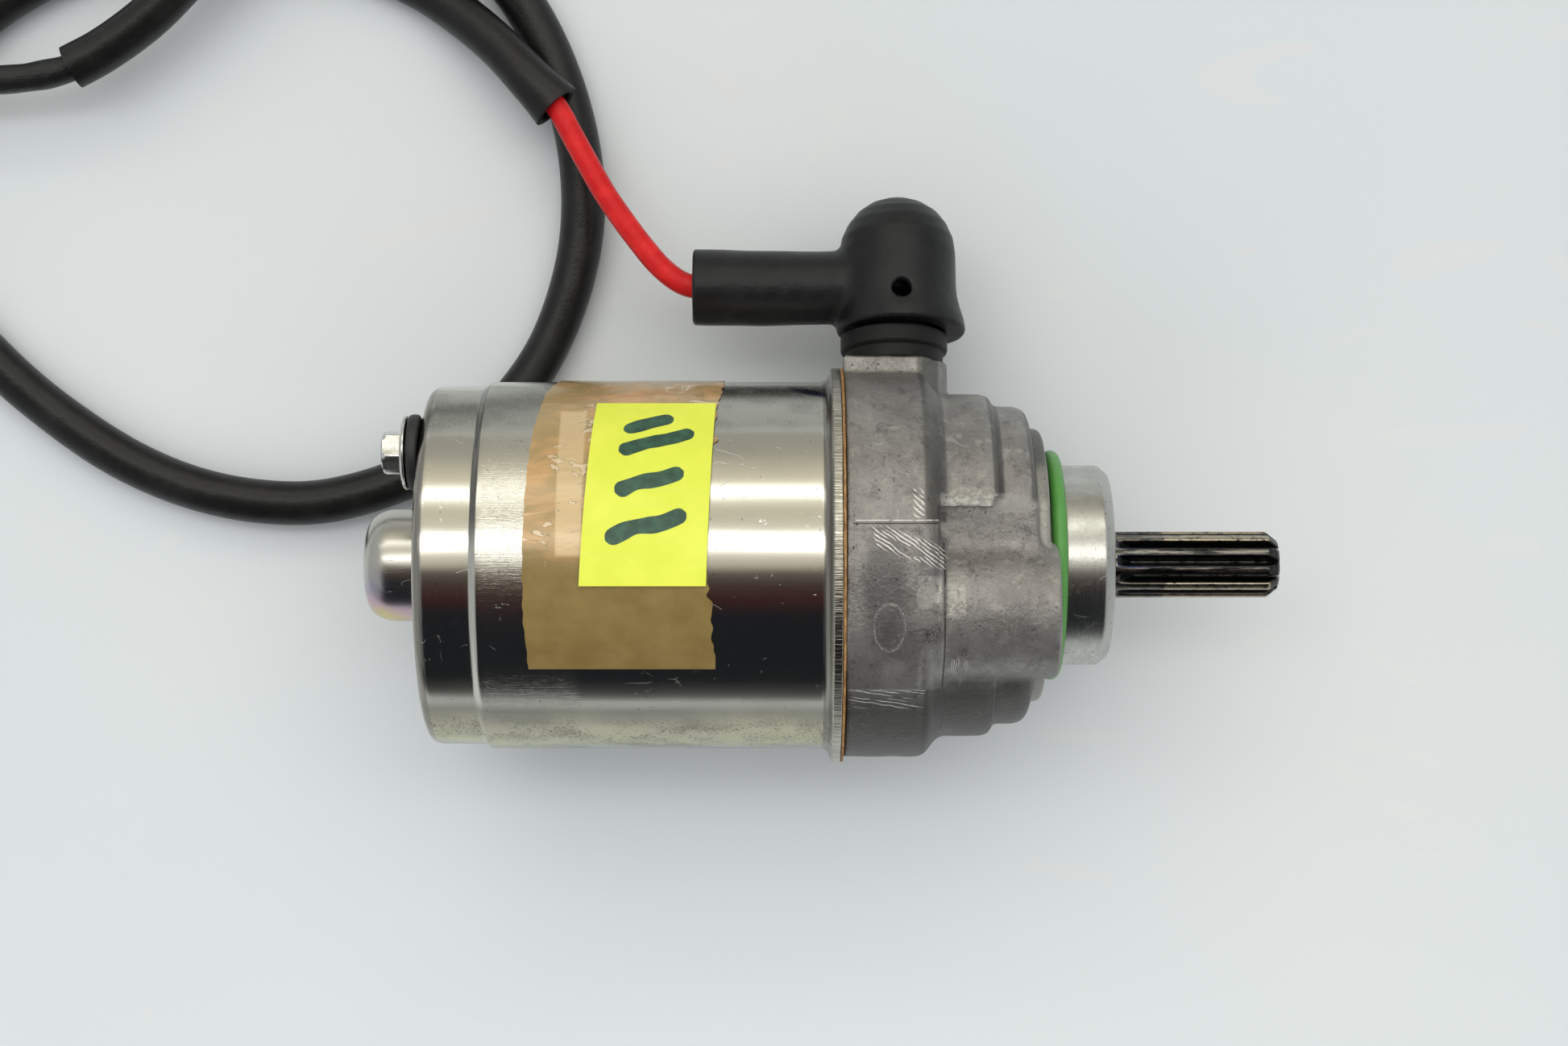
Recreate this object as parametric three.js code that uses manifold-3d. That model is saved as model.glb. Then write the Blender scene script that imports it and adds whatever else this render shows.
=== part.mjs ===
// Starter motor: a brushed permanent-magnet motor with a toothed output shaft, its rubber-booted
// terminal and its sleeved supply cable. Millimetres. X is the motor's axis, +X towards the shaft end,
// +Z up from the table, +Y towards the terminal. The origin is the centre of the shaft's end face.
import * as THREE from "three";
import { mergeVertices } from "three/addons/utils/BufferGeometryUtils.js";
import Module from "manifold-3d";

const wasm = await Module();
wasm.setup();

// ---- sizes, mm -------------------------------------------------------------------------------
const GAP = 0.3; // clearance between pieces that touch on the real motor
const TABLE_Z = -35.5; // the motor stands on the rim of its case
const ROUND = 36; // sides of a large turned piece
const SMALL = 20; // sides of a small turned piece

const CASE_R = 33; // outside of the steel case
const CASE_BORE_R = 30.3;
const REAR_X = -152; // rear wall, outside
const REAR_STEP_X = -142; // where the rear section steps up to the full case
const RIM_R = 35.5; // flange at the open end of the case
const RIM_BACK_X = -80.4;
const RIM_FRONT_X = -78.8;
const BUMP_R = 9.8; // the domed seat of the rear bush
const BUMP_X = -164.1;

const DRUM_R = 34.5; // aluminium nose housing, largest ring
const HOUSING_BACK_X = -78.2;
const FACE_X = -42.8; // shoulder behind the O-ring
const PILOT_R = 18;
const PILOT_X = -30.8; // front face of the pilot
const BOSS_FACE_X = -41.6;
const BOSS_AT = [-7.5, 20.3]; // y, z of the boss that faces up; the other is opposite
const BOSS_HOLE_R = 2.6; // tapped M6
const BOSS_HOLE_AT = [-8.7, 23.7]; // outside the O-ring's seat
const WEB_TOP_Z = 25.8; // flat between the boss and the rings
const WEB_EDGE_Y = 10.4; // where the flat ends at the second ring
const FLAT_EDGE_Y = 12.1; // and at the third

const SHAFT_R = 6;
const JOURNAL_R = 3.95; // rear end of the shaft, in the bush
const TOOTH_COUNT = 11;
const TOOTH_ROOT_R = 4.5;

const BOLT_ANGLE = 41.6; // degrees from +Y, one bolt above it and one below
const BOLT_AT_R = 26.5;
const BOLT_R = 2.4;
const BOLT_FLATS = 7;

const MAGNET_COUNT = 4; // and as many brushes
const CORE_R = 23.6;
const SLOT_COUNT = 14;
const BAR_COUNT = 28; // commutator bars
const COMMUTATOR_R = 14;

const STUD_X = -68.6; // terminal stud, which leans below +Y
const STUD_LEAN = 12;
const PAD_TOP = 36.6; // heights along the stud, from the motor's axis
const BOOT_X = -67.8;
const BOOT_BASE = 42.5;
const BOOT_R = 10.5;
const BOOT_DOME = 58.1; // centre of the dome
const ARM_HEIGHT = 52.3; // the boot's side arm, along -X
const ARM_END_X = -105.6;

const WIRE_R = 2.15; // red wire
const SLEEVE_R = 4.2; // black sleeve over the cable
const TAIL_R = 2.7; // cable past the sleeve

// ---- cable centrelines, mm -------------------------------------------------------------------
const ON_TABLE = TABLE_Z + SLEEVE_R + 0.05;
const OVER_SLEEVE = ON_TABLE + 2 * SLEEVE_R + 0.3;

const WIRE_PATH = [
  [-82, 51.2, -10.9], [-92, 51.2, -10.9], [-100, 51.2, -10.9], [-105.6, 51.3, -11],
  [-108.2, 52.3, -11.6], [-111.7, 55.1, -12.8], [-115.4, 59.5, -14.5], [-119.1, 64.5, -16.4],
  [-122.4, 69.4, -18.1], [-126, 75.7, -20.1], [-129, 81.2, -21.6], [-131.9, 86.4, -22.6],
  [-134.9, 89.6, -22.9],
];
const SLEEVE_PATH = [
  // from the mouth over the top, outside the first turn's start
  [-131.9, 86.4, OVER_SLEEVE], [-136.5, 91.2, -23.2], [-143.6, 98.8, -26], [-152.8, 106.6, -29.8],
  [-160, 111.2, ON_TABLE], [-175, 117.6, ON_TABLE], [-195, 120.5, ON_TABLE],
  [-215, 118.6, ON_TABLE], [-230, 113, ON_TABLE], [-241.9, 105.8, ON_TABLE],
  // down the far side and back along the bottom
  [-251.5, 96, ON_TABLE], [-257.3, 82, ON_TABLE], [-257.6, 66, ON_TABLE], [-252, 52, ON_TABLE],
  [-239.7, 38, ON_TABLE], [-227.3, 27.6, ON_TABLE], [-214.9, 19.6, ON_TABLE],
  [-202.5, 14.4, ON_TABLE], [-190.1, 11.8, ON_TABLE], [-177.7, 11.7, ON_TABLE],
  // under the back of the motor and up again, beneath the mouth
  [-164, 15.3, ON_TABLE], [-152, 21.3, ON_TABLE], [-142, 30.1, ON_TABLE], [-134.2, 41.5, ON_TABLE],
  [-129.1, 55.5, ON_TABLE], [-127.4, 69, ON_TABLE], [-129.1, 83.9, ON_TABLE],
  [-134, 98.4, ON_TABLE], [-141, 110.4, ON_TABLE],
  // the second turn climbs over the first and ends inside it
  [-150.5, 120.2, ON_TABLE], [-163, 127.2, -29.5], [-177.5, 128.2, -25.2],
  [-190.5, 121.6, OVER_SLEEVE + 0.2], [-200, 112.4, -22.6], [-209, 103.6, -23.2],
  [-218, 97.2, -23.8], [-224, 94, -24],
];
const TAIL_PATH = [
  [-217, 97.8, -23.7], [-224, 94, -24], [-231, 92.3, -24.1], [-238, 91.6, -24.1],
  [-246, 91.4, -23.9], [-254.5, 91.6, -23.9], [-261.5, 91.2, -26.6], [-267, 90.4, -31],
  [-271, 89.9, -32.5], [-274.3, 89.6, -32.6],
];

// ---- shape helpers ---------------------------------------------------------------------------
const radians = (degrees) => (degrees * Math.PI) / 180;

// A closed geometry as a manifold solid, faces outwards.
function solid(geometry) {
  const loose = geometry.index ? geometry.toNonIndexed() : geometry;
  const bare = new THREE.BufferGeometry().setAttribute("position", loose.getAttribute("position"));
  const merged = mergeVertices(bare, 1e-4);
  const index = merged.index.array;
  const kept = [];
  for (let i = 0; i < index.length; i += 3) {
    const [a, b, c] = [index[i], index[i + 1], index[i + 2]];
    if (a !== b && b !== c && c !== a) kept.push(a, b, c);
  }
  const build = (triangles) =>
    new wasm.Manifold(
      new wasm.Mesh({
        numProp: 3,
        vertProperties: merged.getAttribute("position").array,
        triVerts: new Uint32Array(triangles),
      }),
    );
  const made = build(kept);
  if (made.volume() > 0) return made;
  for (let i = 0; i < kept.length; i += 3) [kept[i + 1], kept[i + 2]] = [kept[i + 2], kept[i + 1]];
  return build(kept);
}

// Turned about X: profile is a list of [x, radius].
function turned(profile, sides = ROUND) {
  const points = profile.map(([x, r]) => new THREE.Vector2(Math.max(r, 0), x));
  return solid(new THREE.LatheGeometry(points, sides).rotateZ(-Math.PI / 2));
}

// A turned ring or tube between two radii; inner 0 makes a solid disc.
function ring(x0, x1, inner, outer, sides = ROUND) {
  if (!inner) return turned([[x0, 0], [x0, outer], [x1, outer], [x1, 0]], sides);
  return turned([[x0, inner], [x0, outer], [x1, outer], [x1, inner], [x0, inner]], sides);
}

// Turned about +Y: profile is a list of [height, radius].
function turnedUp(profile, sides = SMALL) {
  return solid(
    new THREE.LatheGeometry(profile.map(([h, r]) => new THREE.Vector2(r, h)), sides),
  );
}

// A flat outline of [y, z] points, extruded from x0 to x1.
function slab(outline, x0, x1) {
  const shape = new THREE.Shape(outline.map(([y, z]) => new THREE.Vector2(y, z)));
  const geometry = new THREE.ExtrudeGeometry(shape, { depth: x1 - x0, bevelEnabled: false });
  const turn = new THREE.Matrix4().makeBasis(
    new THREE.Vector3(0, 1, 0), new THREE.Vector3(0, 0, 1), new THREE.Vector3(1, 0, 0),
  );
  return solid(geometry.applyMatrix4(turn).translate(x0, 0, 0));
}

// A box between two corners.
function box([x0, y0, z0], [x1, y1, z1]) {
  const geometry = new THREE.BoxGeometry(x1 - x0, y1 - y0, z1 - z0);
  return solid(geometry.translate((x0 + x1) / 2, (y0 + y1) / 2, (z0 + z1) / 2));
}

// A round tube along a list of points.
function tube(points, radius, steps, sides = 10, from = 0, to = 1) {
  const whole = new THREE.CatmullRomCurve3(points.map((p) => new THREE.Vector3(...p)));
  const part = new THREE.Curve();
  part.getPoint = (t, target = new THREE.Vector3()) =>
    target.copy(whole.getPointAt(from + (to - from) * t));
  const section = new THREE.Shape();
  for (let i = 0; i < sides; i++) {
    const a = (2 * Math.PI * i) / sides;
    section[i ? "lineTo" : "moveTo"](radius * Math.cos(a), radius * Math.sin(a));
  }
  section.closePath();
  return solid(new THREE.ExtrudeGeometry(section, { steps, extrudePath: part, bevelEnabled: false }));
}

const turnX = (piece, degrees) => piece.rotate([degrees, 0, 0]);
const around = (piece, count, first = 0) =>
  Array.from({ length: count }, (_, i) => turnX(piece, first + (360 * i) / count));
const atBolts = (piece) => [BOLT_ANGLE, -BOLT_ANGLE].map((degrees) => turnX(piece, degrees));
const join = (pieces) => wasm.Manifold.union(pieces);
// From the stud's own upright frame to the motor's: lean it over at its place along X.
const onStud = (piece, x = STUD_X) => turnX(piece, -STUD_LEAN).translate([x, 0, 0]);

// Regular outline of a number of sides, by its width across flats.
function hexagon(flats, turn = 0) {
  return Array.from({ length: 6 }, (_, i) => {
    const a = radians(60 * i + turn);
    const r = flats / Math.sqrt(3);
    return [r * Math.cos(a), r * Math.sin(a)];
  });
}

// Part of a cylinder wall: radii, start and end angle from +Y towards +Z, start and end x.
function arcWall(inner, outer, from, to, x0, x1, steps = 16) {
  const outline = [];
  for (let i = 0; i <= steps; i++) {
    const a = radians(from + ((to - from) * i) / steps);
    outline.push([outer * Math.cos(a), outer * Math.sin(a)]);
  }
  for (let i = steps; i >= 0; i--) {
    const a = radians(from + ((to - from) * i) / steps);
    outline.push([inner * Math.cos(a), inner * Math.sin(a)]);
  }
  return slab(outline, x0, x1);
}

// ---- the part --------------------------------------------------------------------------------
const motor = new THREE.Group();
motor.name = "starter_motor";

function add(name, piece) {
  const { numProp, vertProperties, triVerts } = piece.getMesh();
  const positions = new Float32Array((vertProperties.length / numProp) * 3);
  for (let i = 0; i < positions.length / 3; i++)
    positions.set(vertProperties.subarray(i * numProp, i * numProp + 3), i * 3);
  const geometry = new THREE.BufferGeometry()
    .setAttribute("position", new THREE.BufferAttribute(positions, 3))
    .setIndex(new THREE.BufferAttribute(new Uint32Array(triVerts), 1));
  const mesh = new THREE.Mesh(geometry);
  mesh.name = name;
  motor.add(mesh);
}

// ---- case, magnets, gasket -------------------------------------------------------------------
function yokeCase() {
  const shell = turned([
    [RIM_FRONT_X, CASE_BORE_R], [RIM_FRONT_X, RIM_R], [RIM_BACK_X, RIM_R],
    [RIM_BACK_X - 0.9, CASE_R + 0.9], [RIM_BACK_X - 1.8, CASE_R],
    [REAR_STEP_X + 0.9, CASE_R], [REAR_STEP_X, 32.2], [REAR_X + 1.6, 32.2], [REAR_X + 0.5, 31.7],
    [REAR_X, 30.6], [REAR_X, 11.4], [REAR_X - 0.5, 10.1], [REAR_X - 1.8, BUMP_R],
    [BUMP_X + 4, BUMP_R], [BUMP_X + 1.4, 8.8], [BUMP_X + 0.3, 6.6], [BUMP_X, 4], [BUMP_X, 0],
    [BUMP_X + 1.6, 0], [BUMP_X + 1.6, 7.9], [REAR_X + 2.3, 7.9], [REAR_X + 2.3, 29.5],
    [REAR_STEP_X + 1.5, 29.5], [REAR_STEP_X + 2.5, CASE_BORE_R], [RIM_FRONT_X, CASE_BORE_R],
  ]);
  const hole = ring(REAR_X - 1, REAR_X + 4, 0, BOLT_R + 0.4, 16).translate([0, BOLT_AT_R, 0]);
  return shell.subtract(join(atBolts(hole)));
}

function addMagnets() {
  const magnet = arcWall(CORE_R + 0.8, CASE_BORE_R - GAP, -34, 34, -139.2, -92, 12);
  around(magnet, MAGNET_COUNT).forEach((m, i) => add(`magnet_${i + 1}`, m));
}

// ---- aluminium nose housing ------------------------------------------------------------------
function bossAt(side) {
  const [y, z] = BOSS_AT;
  const back = ring(HOUSING_BACK_X, -62.4, 0, 13.3).translate([0, y + 0.8, z - 0.1]);
  const front = turned([
    [-63, 0], [-63, 12.2], [BOSS_FACE_X - 0.5, 11.6], [BOSS_FACE_X, 11.1], [BOSS_FACE_X, 0],
  ]).translate([0, y, z]);
  return turnX(back.add(front), side ? 180 : 0);
}

function bossHole(side) {
  const [y, z] = BOSS_HOLE_AT;
  const hole = turned([
    [-59, 0], [-57.5, BOSS_HOLE_R], [BOSS_FACE_X - 0.5, BOSS_HOLE_R],
    [BOSS_FACE_X + 1, BOSS_HOLE_R + 1.5], [BOSS_FACE_X + 1, 0],
  ], 16).translate([0, y, z]);
  return turnX(hole, side ? 180 : 0);
}

function terminalPad() {
  const half = 9.5;
  const outline = [[-half, -9.8], [half, -9.8], [half, 4.6], [4.8, 9.8], [-half, 9.8]];
  const block = new THREE.ExtrudeGeometry(
    new THREE.Shape(outline.map(([x, z]) => new THREE.Vector2(x, -z))),
    { depth: PAD_TOP - 24, bevelEnabled: false },
  ).rotateX(-Math.PI / 2).translate(0, 24, 0);
  return onStud(solid(block), -68.7);
}

function frontHousing() {
  const rings = turned([
    [HOUSING_BACK_X, 0], [HOUSING_BACK_X, DRUM_R], [-65, DRUM_R], [-64, 34.2], [-61.6, 31.2],
    [-60.8, 30.8], [-53.3, 30.8], [-52.2, 30.3], [-51.8, 29.2], [-51.3, 28.6], [-47.3, 28.6],
    [-46, 28], [-45.3, 26.6], [-45.2, 24.7], [-43.4, 24.5], [FACE_X, 23.9], [FACE_X, PILOT_R],
    [PILOT_X - 1.6, PILOT_R], [PILOT_X, PILOT_R - 1.6], [PILOT_X, 0],
  ]);
  const flat = box([-62.5, -30, WEB_TOP_Z], [-43, WEB_EDGE_Y, 40])
    .add(box([-51.7, -30, WEB_TOP_Z], [-43, FLAT_EDGE_Y, 40]));
  const web = box([-61.5, -9, 16], [-45.2, WEB_EDGE_Y + 0.6, WEB_TOP_Z]);
  const cavity = turned([
    [HOUSING_BACK_X - 1, 0], [HOUSING_BACK_X - 1, 29.5], [-65.5, 29.5], [-63.6, 27],
    [-62, 20], [-59.5, 16.3], [-46.1, 16.3], [-46.1, 9.5], [-38, 9.5], [-38, 12.3],
    [PILOT_X + 1, 12.3], [PILOT_X + 1, 0],
  ]);
  const column = ring(-77.6, -60, 0, 4.8, 20).translate([0, BOLT_AT_R, 0]);
  const thread = ring(-80, -64, 0, BOLT_R + GAP, 16).translate([0, BOLT_AT_R, 0]);
  const studHole = turnedUp([
    [26, 0], [26, 5.2], [34.8, 5.2], [34.8, 7.2], [PAD_TOP + 1, 7.2], [PAD_TOP + 1, 0],
  ]);
  const seat = turned([
    [-43.3, 17.5], [-43.3, 21.4], [-38, 21.4], [-38, PILOT_R], [-38.9, PILOT_R], [-39.2, 17.5],
    [-43.3, 17.5],
  ]);
  const ends = [0, 1];
  const outside = join([
    rings.subtract(join([flat, turnX(flat, 180)])), web, turnX(web, 180),
    ...ends.map(bossAt), terminalPad(),
  ]);
  const hollow = cavity.subtract(join(atBolts(column)));
  return outside.subtract(join([
    hollow, ...atBolts(thread), ...ends.map(bossHole), onStud(studHole), seat,
  ]));
}

function pilotORing() {
  const section = Array.from({ length: 9 }, (_, i) => {
    const a = (2 * Math.PI * (i % 8)) / 8;
    return [-40.85 + 1.4 * Math.cos(a), 19.3 + 1.4 * Math.sin(a)];
  });
  return turned(section);
}

function oilSeal() {
  return turned([
    [-37.6, 6.3], [-37.6, 12], [-32.2, 12], [-32.2, 10.6], [-33.4, 10], [-33.4, 7.6],
    [-34.6, 6.3], [-37.6, 6.3],
  ], 28);
}

// ---- bearing ---------------------------------------------------------------------------------
const BEARING = { x0: -56.3, x1: -46.4, ballAt: 11, ballR: 2.6 };

function ballCage() {
  const middle = (BEARING.x0 + BEARING.x1) / 2;
  const ball = solid(new THREE.SphereGeometry(BEARING.ballR, 8, 6))
    .translate([middle, BEARING.ballAt, 0]);
  const cage = ring(middle - 1.7, middle + 1.7, 10.3, 11.7, 32);
  return join([cage, ...around(ball, 8)]);
}

function snapRing(x0, x1, inner, outer, opening) {
  return arcWall(inner, outer, opening / 2, 360 - opening / 2, x0, x1, 30);
}

// ---- rotor -----------------------------------------------------------------------------------
function armatureShaft() {
  const pitch = 360 / TOOTH_COUNT;
  const outline = [];
  for (let i = 0; i < TOOTH_COUNT; i++)
    for (const [share, r] of [
      [-0.34, SHAFT_R], [-0.12, SHAFT_R + 0.02], [0.12, SHAFT_R + 0.02], [0.34, SHAFT_R],
      [0.44, TOOTH_ROOT_R], [0.56, TOOTH_ROOT_R],
    ]) {
      const a = radians((i + share) * pitch);
      outline.push([r * Math.cos(a), r * Math.sin(a)]);
    }
  const envelope = turned([[-30, 0], [-30, 7], [-1.6, 7], [-1.6, SHAFT_R + 0.1], [0, 4.7], [0, 0]], 36);
  const teeth = slab(outline, -28.4, 0).intersect(envelope);
  const body = turned([
    [-162.2, 0], [-162.2, 3.2], [-161.4, JOURNAL_R], [-150.4, JOURNAL_R], [-148, JOURNAL_R],
    [-148, SHAFT_R], [-29.2, SHAFT_R], [-27.6, TOOTH_ROOT_R], [-27.4, 0],
  ], 36);
  return body.add(teeth);
}

function armatureCore() {
  const outline = [];
  const corner = (radius, sideways, turn) => {
    const a = turn + Math.asin(sideways / radius);
    outline.push([radius * Math.cos(a), radius * Math.sin(a)]);
  };
  for (let i = 0; i < SLOT_COUNT; i++) {
    const a = (2 * Math.PI * i) / SLOT_COUNT;
    corner(CORE_R, -0.6, a);
    corner(22, -0.6, a);
    corner(21.4, -1.6, a);
    corner(12.2, -1.5, a);
    corner(12.2, 1.5, a);
    corner(21.4, 1.6, a);
    corner(22, 0.6, a);
    corner(CORE_R, 0.6, a);
    corner(CORE_R, 0, a + Math.PI / SLOT_COUNT);
  }
  return slab(outline, -136, -94).subtract(ring(-137, -93, 0, SHAFT_R + GAP, SMALL));
}

function armatureWinding() {
  const endTurns = (x0, x1) =>
    turned([[x0, 8.4], [x0, 18], [(x0 * 3 + x1) / 4, 20.6], [(x0 + x1) / 2, 21.2], [x1, 20.4],
      [x1, 8.4], [x0, 8.4]], 28);
  const coil = box([-137, 12.5, -1.15], [-93, 21.1, 1.15]);
  return join([
    endTurns(-146.2, -136.4), endTurns(-83.6, -93.6), ...around(coil, SLOT_COUNT),
  ]);
}

function commutator() {
  const outline = [];
  for (let i = 0; i < BAR_COUNT; i++)
    for (const [share, r] of [[0, COMMUTATOR_R - 0.8], [0.16, COMMUTATOR_R - 0.8],
      [0.16, COMMUTATOR_R], [1, COMMUTATOR_R]]) {
      const a = (2 * Math.PI * (i + share)) / BAR_COUNT;
      outline.push([r * Math.cos(a), r * Math.sin(a)]);
    }
  const bars = slab(outline, -81, -67.6);
  const risers = ring(-83, -80.6, 10, 15.4, BAR_COUNT);
  return bars.add(risers).subtract(ring(-90, -60, 0, 10.3, BAR_COUNT));
}

// ---- brush gear ------------------------------------------------------------------------------
function brushPlate() {
  const bolt = ring(-90, -70, 0, BOLT_R + 0.5, 16).translate([0, BOLT_AT_R, 0]);
  return ring(-80.7, -79.2, 16.4, CASE_BORE_R - GAP).subtract(join(atBolts(bolt)));
}

function brushHolder() {
  return box([-78.9, 15.3, -4.4], [-67.9, 26.6, 4.4])
    .subtract(box([-77.8, 15, -3.3], [-69, 26, 3.3]));
}

function brush() {
  return box([-77.4, 13.5, -3], [-69.4, 20.9, 3]).subtract(ring(-80, -66, 0, COMMUTATOR_R + GAP));
}

function brushSpring() {
  const points = [];
  for (let i = 0; i <= 32; i++) {
    const a = (2 * Math.PI * i) / 8;
    points.push([-73.4 + 2.2 * Math.cos(a), 21.6 + (3.8 * i) / 32, 2.2 * Math.sin(a)]);
  }
  return tube(points, 0.35, 28, 5);
}

function addBrushGear() {
  const parts = { brush_holder: brushHolder(), brush: brush(), brush_spring: brushSpring() };
  for (const [name, piece] of Object.entries(parts))
    around(piece, MAGNET_COUNT).forEach((p, i) => add(`${name}_${i + 1}`, p));
}

// ---- through bolts ---------------------------------------------------------------------------
function addThroughBolts() {
  const head = slab(hexagon(BOLT_FLATS, 10), -158.6, -155.3)
    .intersect(turned([[-158.7, 0], [-158.7, 3.4], [-158, 4.2], [-155, 4.2], [-155, 0]], SMALL));
  const bolt = head.add(ring(-156, -65.2, 0, BOLT_R, 16)).translate([0, BOLT_AT_R, 0]);
  const washer = turned([
    [-155.15, BOLT_R + GAP], [-155.15, 5.9], [-154.8, 6.45], [-154.2, 6.45],
    [-154.2, BOLT_R + GAP], [-155.15, BOLT_R + GAP],
  ], SMALL).translate([0, BOLT_AT_R, 0]);
  const seal = ring(-153.9, -152.3, BOLT_R + GAP, 6.7, SMALL).translate([0, BOLT_AT_R, 0]);
  for (const [name, piece] of [["through_bolt", bolt], ["bolt_washer", washer], ["bolt_seal", seal]])
    atBolts(piece).forEach((p, i) => add(`${name}_${i + 1}`, p));
}

// ---- terminal --------------------------------------------------------------------------------
function hexNut(bottom, top) {
  const blank = new THREE.ExtrudeGeometry(
    new THREE.Shape(hexagon(10, 30).map(([x, z]) => new THREE.Vector2(x, z))),
    { depth: top - bottom, bevelEnabled: false },
  ).rotateX(-Math.PI / 2).translate(0, bottom, 0);
  const hole = turnedUp([[bottom - 1, 0], [bottom - 1, 3.2], [top + 1, 3.2], [top + 1, 0]]);
  return onStud(solid(blank).subtract(hole));
}

function terminalInsulator() {
  return onStud(turnedUp([
    [29.2, 3.2], [29.2, 4.9], [36.8, 4.9], [36.8, 8.9], [39.3, 8.9], [39.5, 9.65], [42.1, 9.65],
    [42.1, 6.8], [44.5, 6.8], [44.5, 3.2], [29.2, 3.2],
  ], 28));
}

function terminalORing() {
  return onStud(turnedUp(Array.from({ length: 9 }, (_, i) => {
    const a = (2 * Math.PI * (i % 8)) / 8;
    return [35.75 - 0.7 * Math.cos(a), 6.1 + 0.7 * Math.sin(a)];
  })));
}

function wireLug() {
  const eye = turnedUp([[50.9, 3.2], [50.9, 5.6], [52.1, 5.6], [52.1, 3.2], [50.9, 3.2]]);
  const neck = box([-9.5, 50.9, -2.2], [-4.4, 52.1, 2.2]);
  const barrel = ring(-17.5, -8.6, WIRE_R + GAP, 3.05, 20).translate([0, ARM_HEIGHT, 0]);
  return onStud(join([eye, neck, barrel]));
}

function terminalBoot() {
  const dome = (r, from) => Array.from({ length: 6 }, (_, i) => {
    const a = (Math.PI / 2) * (i / 5);
    return [from + r * Math.sin(a), i === 5 ? 0 : r * Math.cos(a)];
  });
  const outside = turnedUp([
    [BOOT_BASE, 0], [BOOT_BASE, 11], [BOOT_BASE + 0.5, 11.3], [BOOT_BASE + 2.2, 11.25],
    [BOOT_BASE + 5.5, 10.7], [BOOT_BASE + 9, BOOT_R], ...dome(BOOT_R, BOOT_DOME),
  ], 28);
  const inside = turnedUp([[BOOT_BASE - 1, 0], [BOOT_BASE - 1, 8.3], ...dome(8.3, BOOT_DOME)], SMALL);
  const armEnd = ARM_END_X - BOOT_X;
  const arm = turned([
    [armEnd, 0], [armEnd, 6.8], [armEnd + 5, 6.6], [armEnd + 20, 6.45], [-4, 6.5], [-4, 0],
  ], 28).translate([0, ARM_HEIGHT, 0]);
  const bore = ring(armEnd - 1, -5, 0, 3.5, 20).translate([0, ARM_HEIGHT, 0]);
  const vent = solid(new THREE.CylinderGeometry(1.55, 1.55, 6, 12).rotateX(Math.PI / 2))
    .translate([0, 49, 9.5]);
  return onStud(outside.add(arm).subtract(join([inside, bore, vent])), BOOT_X);
}

function addTerminal() {
  add("terminal_stud", onStud(turnedUp([
    [27.7, 0], [27.7, 3.6], [28.9, 3.6], [28.9, 2.9], [58.9, 2.9], [59.5, 2.3], [59.5, 0],
  ])));
  add("terminal_insulator", terminalInsulator());
  add("terminal_o_ring", terminalORing());
  add("terminal_washer", onStud(
    turnedUp([[44.7, 3.2], [44.7, 6.2], [45.7, 6.2], [45.7, 3.2], [44.7, 3.2]]),
  ));
  add("terminal_lower_nut", hexNut(45.9, 50.6));
  add("wire_lug", wireLug());
  add("terminal_upper_nut", hexNut(52.5, 57.2));
  add("terminal_boot", terminalBoot());
}

// ---- cable -----------------------------------------------------------------------------------
function cableSleeve() {
  const whole = tube(SLEEVE_PATH, SLEEVE_R, 70, 10);
  const mouth = tube([[-129.1, 83.5, OVER_SLEEVE - 0.2], ...WIRE_PATH.slice(-2),
    [-137, 91.8, -23.4]], 3, 6);
  const outlet = tube([...TAIL_PATH.slice(0, 3)].reverse().concat([[-214, 100, -23.5]]), 3.1, 6);
  return whole.subtract(mouth).subtract(outlet);
}

function endLug() {
  const end = [-278, 89.6, -32.6];
  const barrel = ring(-8, 3.4, 1.7, 2.7, 16);
  const plate = box([-15.5, -2.6, -0.8], [-7, 2.6, 0.6]);
  const eye = solid(new THREE.CylinderGeometry(6, 6, 1.4, 28).rotateX(Math.PI / 2))
    .translate([-18, 0, -0.1]);
  const hole = solid(new THREE.CylinderGeometry(3.2, 3.2, 4, 24).rotateX(Math.PI / 2))
    .translate([-18, 0, 0]);
  return join([barrel, plate, eye]).subtract(hole).translate(end);
}

// ---- assembly --------------------------------------------------------------------------------
add("yoke_case", yokeCase());
addMagnets();
add("case_gasket", ring(RIM_FRONT_X + 0.12, HOUSING_BACK_X - 0.12, 30.4, RIM_R - 0.05));
add("front_housing", frontHousing());
add("pilot_o_ring", pilotORing());
add("oil_seal", oilSeal());
add("bearing_outer_ring", ring(BEARING.x0, BEARING.x1, 14, 16, 36));
add("bearing_inner_ring", ring(BEARING.x0, BEARING.x1, SHAFT_R + GAP, 8, SMALL));
add("bearing_ball_cage", ballCage());
add("bearing_snap_ring", snapRing(-57.6, -56.6, 13.6, 16, 44));
add("shaft_snap_ring", snapRing(-57.6, -56.6, SHAFT_R + GAP, 8.4, 60));
add("rear_bush", ring(-161.8, REAR_X + 1.6, JOURNAL_R + GAP, 7.5, SMALL));
add("rear_steel_washer", ring(-149.4, -148.9, JOURNAL_R + GAP, 9, SMALL));
add("rear_fibre_washer", ring(-148.7, -148.2, JOURNAL_R + GAP, 9, SMALL));
add("armature_shaft", armatureShaft());
add("armature_core", armatureCore());
add("armature_winding", armatureWinding());
add("commutator", commutator());
add("commutator_hub", ring(-83, -66.8, SHAFT_R + GAP, 9.9, SMALL));
add("brush_plate", brushPlate());
addBrushGear();
addThroughBolts();
addTerminal();
add("red_wire", tube(WIRE_PATH, WIRE_R, 26, 10));
add("cable_sleeve", cableSleeve());
add("cable_tail", tube(TAIL_PATH, TAIL_R, 20, 10));
add("cable_end_lug", endLug());
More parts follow.
